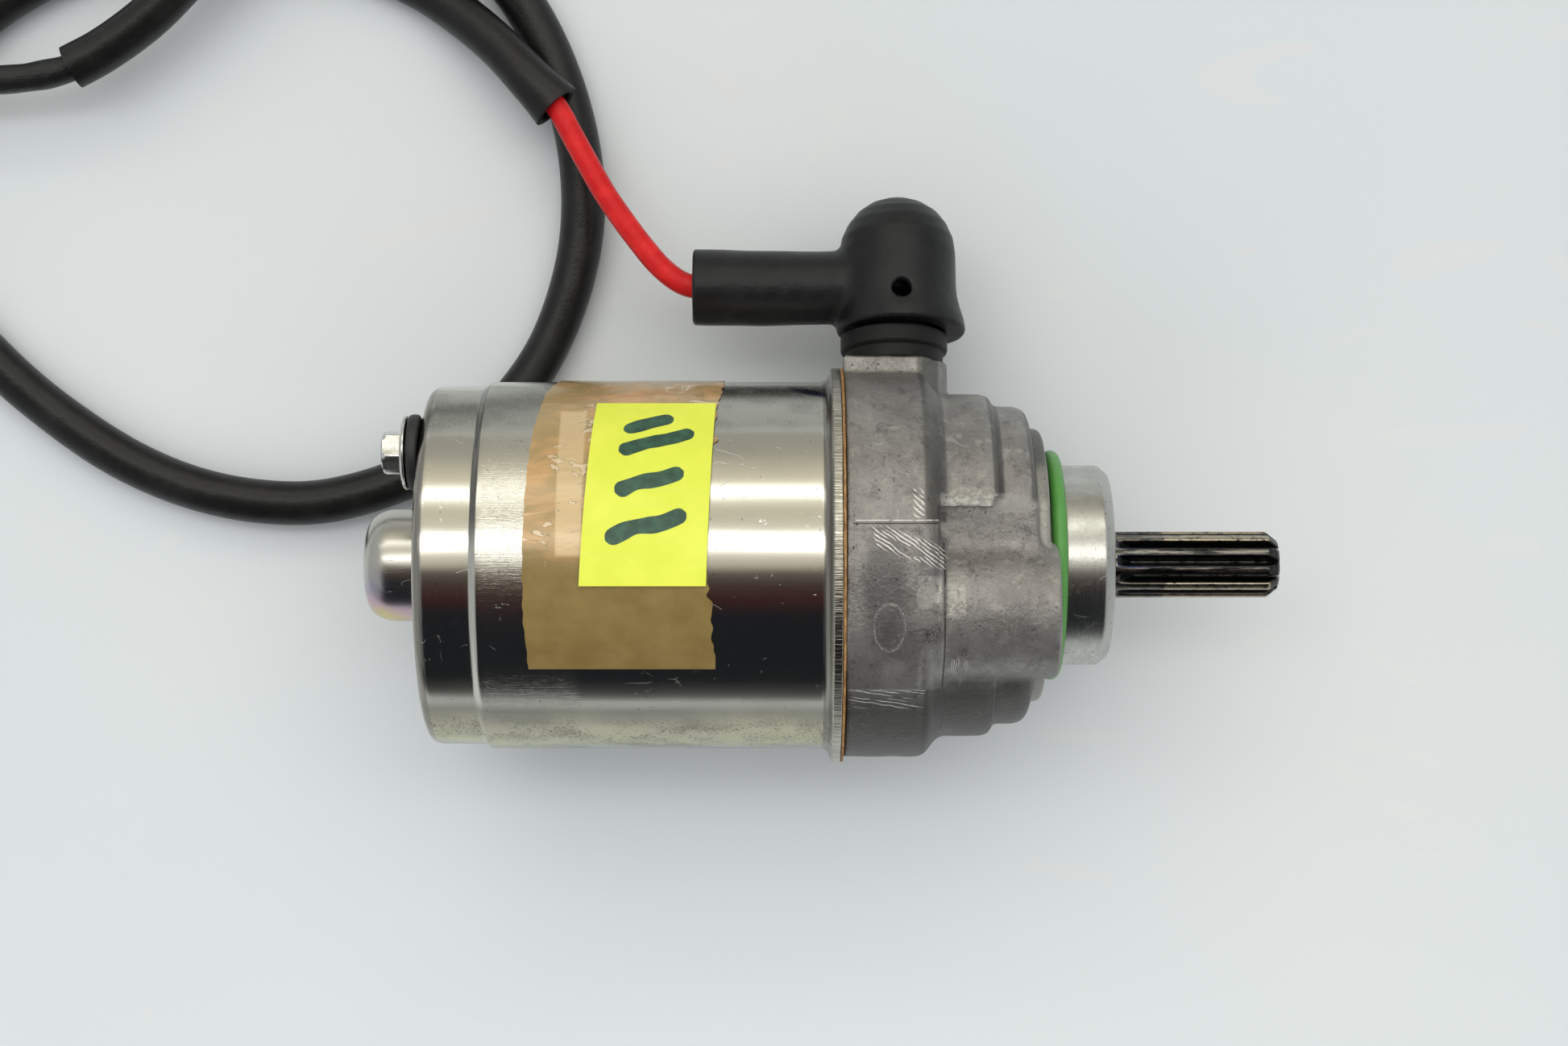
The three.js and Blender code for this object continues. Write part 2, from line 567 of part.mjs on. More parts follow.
add("packing_tape", arcWall(33.25, 33.5, -10, 121.6, -133, -99.4, 30));
add("paper_note", arcWall(33.8, 34.05, 32.6, 95.4, -123.2, -101, 16));

export default motor;
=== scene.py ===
import math

import bmesh
import bpy
import numpy as np
from mathutils import Matrix, Vector, noise


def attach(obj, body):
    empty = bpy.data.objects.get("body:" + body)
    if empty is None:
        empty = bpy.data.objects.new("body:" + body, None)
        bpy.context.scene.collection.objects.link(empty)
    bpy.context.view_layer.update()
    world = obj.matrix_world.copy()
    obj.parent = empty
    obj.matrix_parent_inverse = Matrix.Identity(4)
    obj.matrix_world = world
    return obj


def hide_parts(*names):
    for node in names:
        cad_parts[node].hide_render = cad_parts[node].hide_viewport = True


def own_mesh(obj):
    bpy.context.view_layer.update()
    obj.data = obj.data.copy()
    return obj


# Row frame: X along the motor's axis, +X towards the shaft end, +Y towards the terminal, +Z up.
# Shapes are built in millimetres and written to their meshes in metres.
MM = 0.001
TAU = 2 * math.pi

TABLE_Z = -35.5
CASE_R = 33.0
RIM_R = 35.5
BOLT_ANGLE = 41.6
BOLT_AT_R = 26.5
STUD_LEAN = 12.0
STUD_X = -68.6
BOOT_X = -67.8
WIRE_R = 2.15
SLEEVE_R = 4.2
TAIL_R = 2.7
TOOTH_COUNT = 11
BRUSH_X = -73.4
LIP = 0.35  # bevel at the mouth of a hollow cord
CASTING_TRIANGLES = 185000
FLOOR_HALF, FLOOR_GAP = 2.5, 0.00002  # in metres

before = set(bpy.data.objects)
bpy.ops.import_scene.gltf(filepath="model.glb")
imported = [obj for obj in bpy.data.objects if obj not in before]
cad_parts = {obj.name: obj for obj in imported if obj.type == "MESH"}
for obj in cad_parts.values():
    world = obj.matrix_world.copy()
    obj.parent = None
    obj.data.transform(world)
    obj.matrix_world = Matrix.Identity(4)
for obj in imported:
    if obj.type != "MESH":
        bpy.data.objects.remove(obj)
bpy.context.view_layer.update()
scene = bpy.context.scene


# ---- camera ----
def make_camera():
    data = bpy.data.cameras.new("camera")
    data.lens = 61.6
    data.sensor_width = 36
    data.clip_start = 0.01
    camera = bpy.data.objects.new("camera", data)
    camera.location = (-0.0888, 0.00758, 0.485)
    scene.collection.objects.link(camera)
    scene.camera = camera


make_camera()
scene.view_settings.view_transform = "Standard"


# ---- shapes: (vertices, faces) in mm ----
def soften(points, closed=False):
    """A profile with its corners rounded. A point is (a, b), or (a, b, length of the rounding)."""
    out = []
    for i, p in enumerate(points):
        if len(p) == 2 or (not closed and i in (0, len(points) - 1)):
            out.append((p[0], p[1]))
            continue
        here = np.array(p[:2], float)
        u = np.array(points[i - 1][:2], float) - here
        v = np.array(points[(i + 1) % len(points)][:2], float) - here
        long_u, long_v = np.linalg.norm(u), np.linalg.norm(v)
        reach = min(p[2], 0.48 * long_u, 0.48 * long_v)
        a, b = here + u / long_u * reach, here + v / long_v * reach
        for t in np.linspace(0, 1, 5):
            out.append(tuple((1 - t) ** 2 * a + 2 * t * (1 - t) * here + t * t * b))
    return out


def lofted(stations, closed=False):
    """Stations are (x, radii around X); a station of radius 0 is a pole."""
    sides = max(np.size(r) for _, r in stations)
    angle = np.arange(sides) * TAU / sides
    rows, vertices = [], []
    for x, radius in stations:
        radius = np.broadcast_to(np.asarray(radius, float), (sides,))
        if radius.max() < 1e-4:
            rows.append([len(vertices)] * sides)
            vertices.append((x, 0.0, 0.0))
        else:
            rows.append(list(range(len(vertices), len(vertices) + sides)))
            vertices += list(zip([x] * sides, radius * np.cos(angle), radius * np.sin(angle)))
    return np.array(vertices, float), strips(rows, closed, True)


def strips(rows, closed=False, around=False):
    """Quads between consecutive rows of vertex numbers; a repeated number makes a triangle."""
    faces = []
    pairs = list(zip(rows, rows[1:])) + ([(rows[-1], rows[0])] if closed else [])
    for a, b in pairs:
        count = len(a) if around else len(a) - 1
        for i in range(count):
            j = (i + 1) % len(a)
            face = list(dict.fromkeys([a[i], a[j], b[j], b[i]]))
            if len(face) > 2:
                faces.append(face)
    return faces


def turned(profile, sides=160, closed=False):
    ring = np.ones(sides)
    return lofted([(x, max(r, 0) * ring) for x, r in soften(profile, closed)], closed)


def moved(shape, matrix):
    vertices, faces = shape
    m = np.array(matrix, float)
    return vertices @ m[:3, :3].T + m[:3, 3], faces


def merged(*shapes):
    vertices, faces, base = [], [], 0
    for v, f in shapes:
        vertices.append(v)
        faces += [[i + base for i in face] for face in f]
        base += len(v)
    return np.concatenate(vertices), faces


def spun(degrees, y=0.0, z=0.0, x=0.0):
    """Moves by (x, y, z), then turns about X."""
    return Matrix.Rotation(math.radians(degrees), 4, "X") @ Matrix.Translation((x, y, z))


def on_stud(x=STUD_X):
    """From X as height to the leaning stud's axis."""
    lean = math.radians(STUD_LEAN)
    c, s = math.cos(lean), math.sin(lean)
    return Matrix(((0, 1, 0, x), (c, 0, -s, 0), (-s, 0, -c, 0), (0, 0, 0, 1)))


# ---- shapes from a distance field ----
def polygon_distance(points, a, b):
    """Signed distance from (a, b) to a closed outline, negative inside."""
    nearest = np.full(a.shape, 1e9)
    inside = np.zeros(a.shape, bool)
    for (a0, b0), (a1, b1) in zip(points, points[1:] + points[:1]):
        da, db = a1 - a0, b1 - b0
        t = np.clip(((a - a0) * da + (b - b0) * db) / (da * da + db * db + 1e-12), 0, 1)
        nearest = np.minimum(nearest, (a - a0 - t * da) ** 2 + (b - b0 - t * db) ** 2)
        if abs(db) > 1e-9:
            crosses = ((b0 <= b) != (b1 <= b)) & (a < a0 + (b - b0) * da / db)
            inside ^= crosses
    return np.where(inside, -1, 1) * np.sqrt(nearest)


def turned_field(profile, height, radius):
    """Distance field of a turned profile of (height, radius), which runs from axis to axis."""
    outline = soften(profile)
    outline = [(outline[0][0], -20.0), *outline, (outline[-1][0], -20.0)]
    step = 0.2
    heights = np.arange(height.min() - 1, height.max() + 1 + step, step)
    radii = np.arange(0, radius.max() + 1 + step, step)
    table = polygon_distance(outline, *np.meshgrid(heights, radii, indexing="ij"))
    u, v = (height - heights[0]) / step, radius / step
    i, j = u.astype(int), v.astype(int)
    u, v = u - i, v - j
    low = table[i, j] * (1 - u) + table[i + 1, j] * u
    high = table[i, j + 1] * (1 - u) + table[i + 1, j + 1] * u
    return low * (1 - v) + high * v


def box_field(point, low, high, rounding):
    centre = [(l + h) / 2 for l, h in zip(low, high)]
    out = [np.abs(p - c) - ((h - l) / 2 - rounding)
           for p, c, l, h in zip(point, centre, low, high)]
    outside = np.sqrt(sum(np.maximum(o, 0) ** 2 for o in out))
    return outside + np.minimum(np.maximum.reduce(out), 0) - rounding


def union(a, b, blend):
    h = np.clip(0.5 + 0.5 * (b - a) / blend, 0, 1)
    return b * (1 - h) + a * h - blend * h * (1 - h)


def cut(a, b, blend=0.3):
    return -union(-a, b, blend)


def grid(low, high, cell):
    return np.meshgrid(*[np.arange(l, h, cell) for l, h in zip(low, high)], indexing="ij")


def stepped_back(cells, axes, steps):
    cells = cells.copy()
    cells[:, axes] -= steps
    return cells


def surface(field, low, cell):
    """The zero surface of a field as quads, with each vertex at the mean crossing of its cell."""
    shape = np.array(field.shape)
    total = np.zeros((*(shape - 1), 3))
    count = np.zeros(shape - 1)
    crossings = []
    for axis in range(3):
        size = field.shape[axis]
        f0, f1 = (np.take(field, range(k, size - 1 + k), axis) for k in (0, 1))
        crossed = (f0 < 0) != (f1 < 0)
        where = np.argwhere(crossed)
        share = f0[crossed] / (f0[crossed] - f1[crossed])
        place = where.astype(float)
        place[:, axis] += share
        crossings.append((axis, where, f0[crossed] < 0))
        others = [k for k in range(3) if k != axis]
        for steps in ((0, 0), (0, 1), (1, 0), (1, 1)):
            cell_at = stepped_back(where, others, steps)
            good = ((cell_at >= 0) & (cell_at < shape - 1)).all(1)
            at = tuple(cell_at[good].T)
            np.add.at(total, at, place[good])
            np.add.at(count, at, 1)
    used = count > 0
    number = np.full(count.shape, -1)
    number[used] = np.arange(used.sum())
    vertices = total[used] / count[used][:, None] * cell + np.array(low)
    quads = []
    for axis, where, rising in crossings:
        a, b = (axis + 1) % 3, (axis + 2) % 3
        keep = (where[:, a] > 0) & (where[:, b] > 0)
        keep &= (where[:, a] < shape[a] - 1) & (where[:, b] < shape[b] - 1)
        where, rising = where[keep], rising[keep]
        corners = [number[tuple(stepped_back(where, [a, b], steps).T)]
                   for steps in ((1, 1), (0, 1), (0, 0), (1, 0))]
        quad = np.stack(corners, 1)
        quads.append(np.where(rising[:, None], quad, quad[:, ::-1]))
    return vertices, np.concatenate(quads).tolist()


# ---- cable shapes ----
def smooth_path(points, spacing=1.0):
    """A centripetal Catmull-Rom line through the points, at an even spacing in mm."""
    p = [np.array(q, float) for q in points]
    p = [2 * p[0] - p[1], *p, 2 * p[-1] - p[-2]]
    fine = []
    for i in range(1, len(p) - 2):
        four = p[i - 1:i + 3]
        k = [0.0]
        for a, b in zip(four, four[1:]):
            k.append(k[-1] + np.linalg.norm(b - a) ** 0.5)
        for t in np.linspace(k[1], k[2], 24, endpoint=False):
            line = [((k[j + 1] - t) * four[j] + (t - k[j]) * four[j + 1]) / (k[j + 1] - k[j])
                    for j in range(3)]
            pair = [((k[j + 2] - t) * line[j] + (t - k[j]) * line[j + 1]) / (k[j + 2] - k[j])
                    for j in range(2)]
            fine.append(((k[2] - t) * pair[0] + (t - k[1]) * pair[1]) / (k[2] - k[1]))
    fine = np.array(fine + [p[-2]])
    along = np.concatenate([[0], np.cumsum(np.linalg.norm(np.diff(fine, axis=0), axis=1))])
    even = np.linspace(0, along[-1], max(3, round(along[-1] / spacing) + 1))
    return np.stack([np.interp(even, along, fine[:, k]) for k in range(3)], 1), even


def sweep(path, radius, sides=28, bores=(0, 0), bore_r=0.0, squash=None):
    """A tube along a path. radius is one number a point; bores are the depths of hollow ends."""
    tangent = np.gradient(path, axis=0)
    tangent /= np.linalg.norm(tangent, axis=1)[:, None]
    normal = np.cross(tangent[0], (0, 0, 1.0))
    normal /= np.linalg.norm(normal)
    angle = np.arange(sides) * TAU / sides
    along = np.concatenate([[0], np.cumsum(np.linalg.norm(np.diff(path, axis=0), axis=1))])
    rows = []
    for i, here in enumerate(path):
        normal = normal - tangent[i] * (normal @ tangent[i])
        normal /= np.linalg.norm(normal)
        side = np.cross(tangent[i], normal)
        rows.append((here, normal.copy(), side))
    flat = np.ones(len(path)) if squash is None else squash

    def ring(i, r):
        here, normal, side = rows[i]
        return (here + np.outer(np.cos(angle) * r / flat[i], normal)
                + np.outer(np.sin(angle) * r * flat[i], side))

    every = range(len(path))
    starts = [i for i in every if along[i] <= bores[0]] if bores[0] else []
    ends = [i for i in every if along[-1] - along[i] <= bores[1]] if bores[1] else []
    rings = [ring(i, bore_r) for i in reversed(starts)]
    rings += [ring(0, radius[0] - LIP)] if starts else []
    rings += [ring(i, radius[i]) for i in every]
    rings += [ring(len(path) - 1, radius[-1] - LIP)] if ends else []
    rings += [ring(i, bore_r) for i in reversed(ends)]
    index = [list(range(k * sides, (k + 1) * sides)) for k in range(len(rings))]
    faces = strips(index, around=True) + [index[0][::-1], index[-1]]
    return np.concatenate(rings), faces


# ---- looks ----
class Value:
    """A node's output, which can stand in sums and products."""

    def __init__(self, graph, socket):
        self.graph, self.socket = graph, socket


def add_operator(sign, operation):
    setattr(Value, f"__{sign}__", lambda a, b: a.graph.math(operation, a, b))
    setattr(Value, f"__r{sign}__", lambda a, b: a.graph.math(operation, b, a))


for sign, operation in (("add", "ADD"), ("sub", "SUBTRACT"), ("mul", "MULTIPLY"),
                        ("truediv", "DIVIDE")):
    add_operator(sign, operation)


class Graph:
    """A node tree. Its methods add nodes and return their outputs as values."""

    def __init__(self, tree):
        self.tree = tree
        tree.nodes.clear()

    def new(self, kind, inputs, **settings):
        node = self.tree.nodes.new("ShaderNode" + kind)
        for name, setting in settings.items():
            setattr(node, name, setting)
        for key, value in inputs.items():
            self.give(value, node.inputs[key])
        return node

    def out(self, kind, inputs, output=0, **settings):
        return Value(self, self.new(kind, inputs, **settings).outputs[output])

    def give(self, value, socket):
        if isinstance(value, Value):
            self.tree.links.new(value.socket, socket)
        else:
            socket.default_value = (*value, 1) if socket.type == "RGBA" else value

    def math(self, operation, *values):
        return self.out("Math", dict(enumerate(values)), operation=operation)

    def vector(self, operation, a, b):
        return self.out("VectorMath", {0: a, 1: b}, operation=operation)

    def split(self, vector):
        return [Value(self, s) for s in self.new("SeparateXYZ", {0: vector}).outputs]

    def join(self, *values):
        return self.out("CombineXYZ", dict(enumerate(values)))

    def most(self, first, *others):
        for value in others:
            first = self.math("MAXIMUM", first, value)
        return first

    def away(self, a, b):
        return self.math("SQRT", a * a + b * b)

    def step(self, value, low, high, to=(0, 1)):
        """0 below low and 1 above high, smooth between; falls if low is above high."""
        ends = (low, high, *to) if low < high else (high, low, to[1], to[0])
        inputs = dict(zip(("Value", "From Min", "From Max", "To Min", "To Max"), (value, *ends)))
        return self.out("MapRange", inputs, interpolation_type="SMOOTHSTEP")

    def band(self, value, low, high, soft):
        return (self.step(value, low - soft, low + soft)
                * self.step(value, high + soft, high - soft))

    def mix(self, share, *colors):
        node = self.new("Mix", {"Factor": share}, data_type="RGBA")
        for color, socket in zip(colors, [s for s in node.inputs if s.type == "RGBA"]):
            self.give(color, socket)
        return Value(self, [s for s in node.outputs if s.type == "RGBA"][0])

    def over(self, color, *layers):
        """The colour with layers on it, each a share and a colour."""
        for share, layer in layers:
            color = self.mix(share, color, layer)
        return color

    def ramp(self, value, stops):
        node = self.new("ValToRGB", {0: value})
        elements = node.color_ramp.elements
        for i, (at, color) in enumerate(stops):
            element = elements[i] if i < 2 else elements.new(at)
            element.position, element.color = at, (*color, 1)
        return Value(self, node.outputs[0])


class Look(Graph):
    """One procedural material. Its positions are in mm in the row frame."""

    def __init__(self, name, color, metallic=0, roughness=0.5):
        self.material = bpy.data.materials.new(name)
        self.material.use_nodes = True
        super().__init__(self.material.node_tree)
        self.shader = self.new("BsdfPrincipled", {})
        self.new("OutputMaterial", {"Surface": Value(self, self.shader.outputs[0])})
        self.set(color=color, metallic=metallic, roughness=roughness)
        metres = self.out("TexCoord", {}, "Object")
        self.at = self.out("VectorMath", {0: metres, "Scale": 1 / MM}, operation="SCALE")
        self.x, self.y, self.z = self.split(self.at)

    def set(self, **inputs):
        names = {"color": "Base Color", "coat": "Coat Weight", "specular": "Specular IOR Level"}
        for key, value in inputs.items():
            name = names.get(key, key.replace("_", " ").title())
            self.give(value, self.shader.inputs[name])

    def finish(self, **inputs):
        self.set(**inputs)
        return self.material

    def place(self, at):
        """A place for textures, from a number the place in mm is scaled by, or from a number for
        each axis, or, on a turned surface, from one along X and one around it."""
        if isinstance(at, Value):
            return at
        if isinstance(at, tuple) and len(at) == 2:
            return self.turning(*at)
        return self.vector("MULTIPLY", self.at, at if isinstance(at, tuple) else (at, at, at))

    def noise(self, at, detail=3, roughness=0.55, distortion=0):
        return self.out("TexNoise", {"Vector": self.place(at), "Scale": 1, "Detail": detail,
                                     "Roughness": roughness, "Distortion": distortion})

    def cells(self, at, scale=1):
        return self.out("TexVoronoi", {"Vector": self.place(at), "Scale": scale}, "Distance")

    def specks(self, at, high, low, scale=1):
        """1 near the middle of each cell, from a distance of low, and 0 past high."""
        return self.step(self.cells(at, scale), high, low)

    def bump(self, height, distance, strength=1, under=None):
        """distance is the height of a value of 1, in mm."""
        inputs = {"Strength": strength, "Distance": distance * MM, "Height": height}
        return self.out("Bump", {**inputs, "Normal": under} if under else inputs)

    def radius(self):
        return self.away(self.y, self.z)

    def angle(self):
        """Degrees about X, from +Z towards +Y."""
        return self.math("ARCTAN2", self.y, self.z) * math.degrees(1)

    def turning(self, along, around):
        """X and arc length, each times a number, and radius."""
        radius = self.radius()
        flat = self.vector("MULTIPLY", self.join(0, self.y / radius, self.z / radius),
                           (0, around * CASE_R, around * CASE_R))
        return self.vector("ADD", flat, self.join(self.x * along, radius, 0))

    def facing_up(self):
        return self.step(self.z, 2, 6)

    def turned(self, x, y, degrees):
        c, s = math.cos(math.radians(degrees)), math.sin(math.radians(degrees))
        return x * c + y * s, y * c - x * s

    def spot(self, x, y, wide, high, turn=0, soft=0.35):
        """An ellipse on what faces up, by its centre and half sizes in mm."""
        u, v = self.turned(self.x - x, self.y - y, turn)
        away = self.away(u / wide, v / high)
        return self.step(away, 1 + soft, 1 - soft) * self.facing_up()

    def panel(self, x0, x1, y0, y1, ragged, soft=0.3):
        """A rectangle with a ragged outline on what faces up."""
        wander = (self.noise(0.8, 4, 0.7) - 0.5) * ragged
        return (self.band(self.x + wander, x0, x1, soft) * self.band(self.y + wander, y0, y1, soft)
                * self.facing_up())

    def pointed(self):
        """0.5 on a plain face, more on an edge, less in a corner."""
        return self.out("NewGeometry", {}, "Pointiness")

    def hairlines(self, at, wide=0.0025, keep=0.55):
        """Thin wandering lines, kept only in patches."""
        at = self.place(at)
        line = self.noise(at, 1, 0.5, 0.8)
        patch = self.noise(self.vector("ADD", at, (31, 7, 3)), 1)
        return (self.band(line, 0.5 - wide, 0.5 + wide, wide * 0.6)
                * self.step(patch, keep, keep + 0.05))

    def hatch(self, turn, spacing, length, wide=0.75, keep=0.45):
        """Short parallel lines at a spacing in mm on what faces up, some of them missing."""
        u, v = self.turned(self.x, self.y, turn)
        wave = self.math("SINE", v * (TAU / spacing) + self.noise(0.35, 3) * 9)
        gaps = self.noise(self.join(u / length, v * (0.5 / spacing), 1.7), 1)
        return self.step(wave, wide, wide + 0.2) * self.step(gaps, keep, keep + 0.08)


def steel(name, color, roughness, brushed=0.2, dirt=0.3):
    """Plated or ground steel: fine turning marks, stains and small pits."""
    look = Look(name, color, 1, roughness)
    lines = look.noise((9, 0.05), 2)
    cloud = look.noise(0.25, 4)
    pits = look.specks(0.9, 0.1, 0.04)
    dark = tuple(c * 0.45 for c in color)
    stained = look.mix(look.step(cloud, 0.5, 0.75) * dirt, color, dark)
    return look.finish(color=look.mix(pits * 0.6, stained, (0.03, 0.03, 0.03)),
                       roughness=roughness - 0.06 + lines * 0.12 + cloud * 0.06,
                       normal=look.bump(lines, 0.02 * brushed, 1, look.bump(cloud, 0.03)))


def case_tints(look, angle):
    """Painted shade for the case's lower side, darker colours by angle, and the colours of its rear
    bump.
    """
    tint = look.noise((0.05, 0.08), 2)
    slope = angle * -0.01 + tint * 0.16
    low_side_shade = look.ramp(slope, [(0.54, (0.25, 0.245, 0.21)), (0.62, (0.34, 0.325, 0.265)),
                                 (0.7, (0.49, 0.465, 0.34)), (0.79, (0.51, 0.505, 0.31)),
                                 (0.88, (0.22, 0.26, 0.21)), (0.98, (0.26, 0.245, 0.245)),
                                 (1.12, (0.46, 0.45, 0.41))])
    film = look.y * -0.06 - (look.x + 160) * 0.02 + tint * 0.3
    rainbow = look.ramp(film, [(0.22, (0.55, 0.54, 0.49)), (0.45, (0.42, 0.38, 0.46)),
                               (0.6, (0.6, 0.42, 0.48)), (0.72, (0.68, 0.58, 0.24)),
                               (0.85, (0.52, 0.58, 0.4))])
    return low_side_shade, rainbow


def case_look():
    look = Look("case_steel", (0.64, 0.63, 0.57), 1, 0.15)
    angle = look.angle()
    bump_end = look.step(look.x, -152, -153)
    drawn = 1 - bump_end
    beside_tape = look.band(look.x, -141, -124, 1.5)
    axial = look.noise((0.07, 3.6), 3, 0.75)
    axial_fine = look.noise((0.3, 7), 3, 0.8)
    hoops = look.noise((7, 0.03), 3, 0.75)
    waves = look.noise((0.035, 0.05), 2)
    scratch = look.hairlines((0.06, 0.09), 0.0016, 0.6)
    short_scratch = look.hairlines((0.35, 0.55), 0.01, 0.66)
    nick = look.specks((0.35, 0.35), 0.045, 0.02)
    fleck = look.specks((0.5, 0.22), 0.085, 0.03, 1.1)
    wall = look.step(look.x, -151.9, -151) * drawn
    under = look.band(angle, -80, -54, 6) * wall
    crown = look.band(angle, 46, 76, 3) * wall
    grime = look.noise((2.9, 4.2), 5, 0.8)
    grime_patch = look.noise((0.11, 0.16), 2)
    soot = (look.step(grime + grime_patch * 0.7, 0.87, 0.95) * drawn
            * (under * 0.5 + crown * 0.22 + 0.08))
    speck = (look.specks((1.3, 1.6), 0.4, 0.26) * look.step(grime_patch, 0.36, 0.5)
             * look.step(grime, 0.42, 0.5) * under)
    # Painted shade: the crown, a band on the +Y side of the case, is made darker to dim its
    # reflections.
    color = look.mix(crown * 0.8 * drawn, (0.66, 0.645, 0.585), (0.4, 0.4, 0.355))
    low_side_shade, rainbow = case_tints(look, angle)
    # Painted shade: the case's side towards -Y takes the darker colours from case_tints.
    low = look.step(angle, -44, -50) * look.step(angle, -170, -140) * wall
    # Painted shade: darker bands in the fold before the rim, on the rear chamfer, and in the step
    # at the rear ring on its +Y side.
    fold_shade = look.band(look.x, -82, -80.65, 0.12)
    chamfer_shade = look.band(look.x, -151.9, -150.3, 0.2)
    groove_shade = look.band(look.x, -142.1, -140.95, 0.12) * look.step(angle, 4, 16)
    ink = look.spot(-84.6, 30.7, 3.4, 0.55, -14) * 0.95
    relief = look.mix(beside_tape, hoops, axial) * 0.6 + axial_fine * 0.55 * beside_tape
    normal = look.bump(waves, 0.45, 0.22)
    normal = look.bump(relief * drawn, 0.03, 1, normal)
    normal = look.bump(scratch + short_scratch * 0.8 + nick, -0.03, 0.7, normal)
    color = look.over(color, (low, low_side_shade), (bump_end * 0.9, rainbow),
                      (fold_shade * 0.7, (0.17, 0.16, 0.14)), (chamfer_shade * 0.75, (0.24, 0.22, 0.19)),
                      (groove_shade * 0.85, (0.12, 0.115, 0.1)),
                      (look.most(soot * 0.7, speck * 0.85), (0.06, 0.06, 0.05)),
                      (fleck * 0.5 * drawn, (0.05, 0.05, 0.04)), (nick * 0.7, (0.09, 0.08, 0.07)),
                      (ink, (0.008, 0.012, 0.09)))
    return look.finish(color=color, normal=normal,
                       roughness=0.08 + bump_end * 0.13 + beside_tape * 0.03 + crown * 0.1 * drawn
                       + axial * 0.09 + soot * 0.3 + scratch * 0.2)


def rim_look():
    """Sheared edge of the case's flange: fine ticks along X and worn patches."""
    look = Look("rim_steel", (0.72, 0.7, 0.62), 1, 0.28)
    ticks = look.noise((0.1, 4.2), 2, 0.6)
    worn = look.noise((0.3, 0.2), 3)
    color = look.mix(look.step(ticks, 0.38, 0.62), (0.3, 0.28, 0.24), (0.6, 0.58, 0.5))
    return look.finish(color=look.mix(look.step(worn, 0.5, 0.7), color, (0.42, 0.4, 0.36)),
                       roughness=0.14 + worn * 0.18, normal=look.bump(ticks, 0.12))


def casting_wear(look, patch, tumble):
    """Rubbed places on the casting."""
    radius = look.radius()
    return look.most(
        look.panel(-66.3, -62.1, -6.8, -1.4, 1.6) * look.step(patch, 0.36, 0.5) * 0.9,
        look.panel(-61.7, -58, -8.5, -2.6, 0.7, 0.2) * look.step(tumble, 0.36, 0.62) * 0.9,
        look.spot(-57, 11.5, 5, 2.2) * look.step(tumble, 0.42, 0.6) * 0.7,
        look.band(look.x, -45, -42.8, 0.2) * look.step(radius, 22.5, 23.4)
        * look.step(radius, 25.3, 24.9) * look.step(look.y, 18.5, 16) * 0.6)


def casting_marks(look, split, patch, tumble, grain):
    """Bright scratches and tool marks on the casting."""
    diagonal = look.y + (look.x + 67.5) * 0.36
    fan = (look.panel(-73.9, -61.4, -0.4, 7.2, 1.8, 0.3) * look.hatch(-36, 0.58, 3.4, 0.35, 0.4)
           * look.band(diagonal, 1.6, 5.6, 0.5) * look.step(tumble, 0.34, 0.52, (0.45, 1)))
    edge = look.panel(-66.9, -65.2, 8.2, 13.4, 0.5) * look.hatch(-42, 0.75, 2.5, 0.4, 0.36)
    low = look.panel(-77.8, -64.7, -24.2, -20.8, 1.4) * look.hatch(-9, 0.6, 6, 0.7)
    chatter = look.spot(-59.3, -16.9, 2, 1.4, 0, 0.2) * look.hatch(88, 0.36, 3, 0.5)
    ridge = split * look.band(look.y, 7.95, 8.15, 0.07) * look.step(patch, 0.42, 0.5)
    loose = look.hairlines(0.16, 0.0035, 0.56)
    away = look.away((look.x + 71) / 2.65, (look.y + 10) / 4.1)
    wander = away + (patch - 0.5) * 0.35
    oval = (look.step(look.z, 5, 9) * look.step(grain, 0.42, 0.56)
            * look.most(look.band(wander, 0.97, 1.03, 0.03),
                        look.band(away, 0.9, 0.94, 0.03) * 0.6,
                        look.band(wander, 0.66, 0.7, 0.03) * look.step(patch, 0.48, 0.52) * 0.6))
    return look.most(fan, edge, ridge, low * 0.7, chatter * 0.6, loose * 0.2, oval * 0.42)


def casting_hollows(look, split):
    """Painted shade in the grooves between the casting's rings, and its seams."""
    outside_boss = look.most(look.step(look.y, 7.4, 8), look.step(look.y, -20.6, -21.2),
                             look.step(look.z, 4, 2))
    outside_flat = look.most(look.step(look.y, 10.9, 12.2), look.step(look.y, -20.6, -21.2))
    recess_shade = look.most(outside_boss * look.band(look.x, -64.9, -60.9, 0.4),
                       outside_flat * look.band(look.x, -52.9, -51, 0.25),
                       outside_flat * look.band(look.x, -46.3, -42.9, 0.25))
    seam = ((1 - outside_boss) * look.band(look.x, -61.75, -61.45, 0.08)
            * look.step(look.y, 4.6, 4))
    return recess_shade, look.most(seam, split * look.band(look.y, 7.4, 7.65, 0.08))


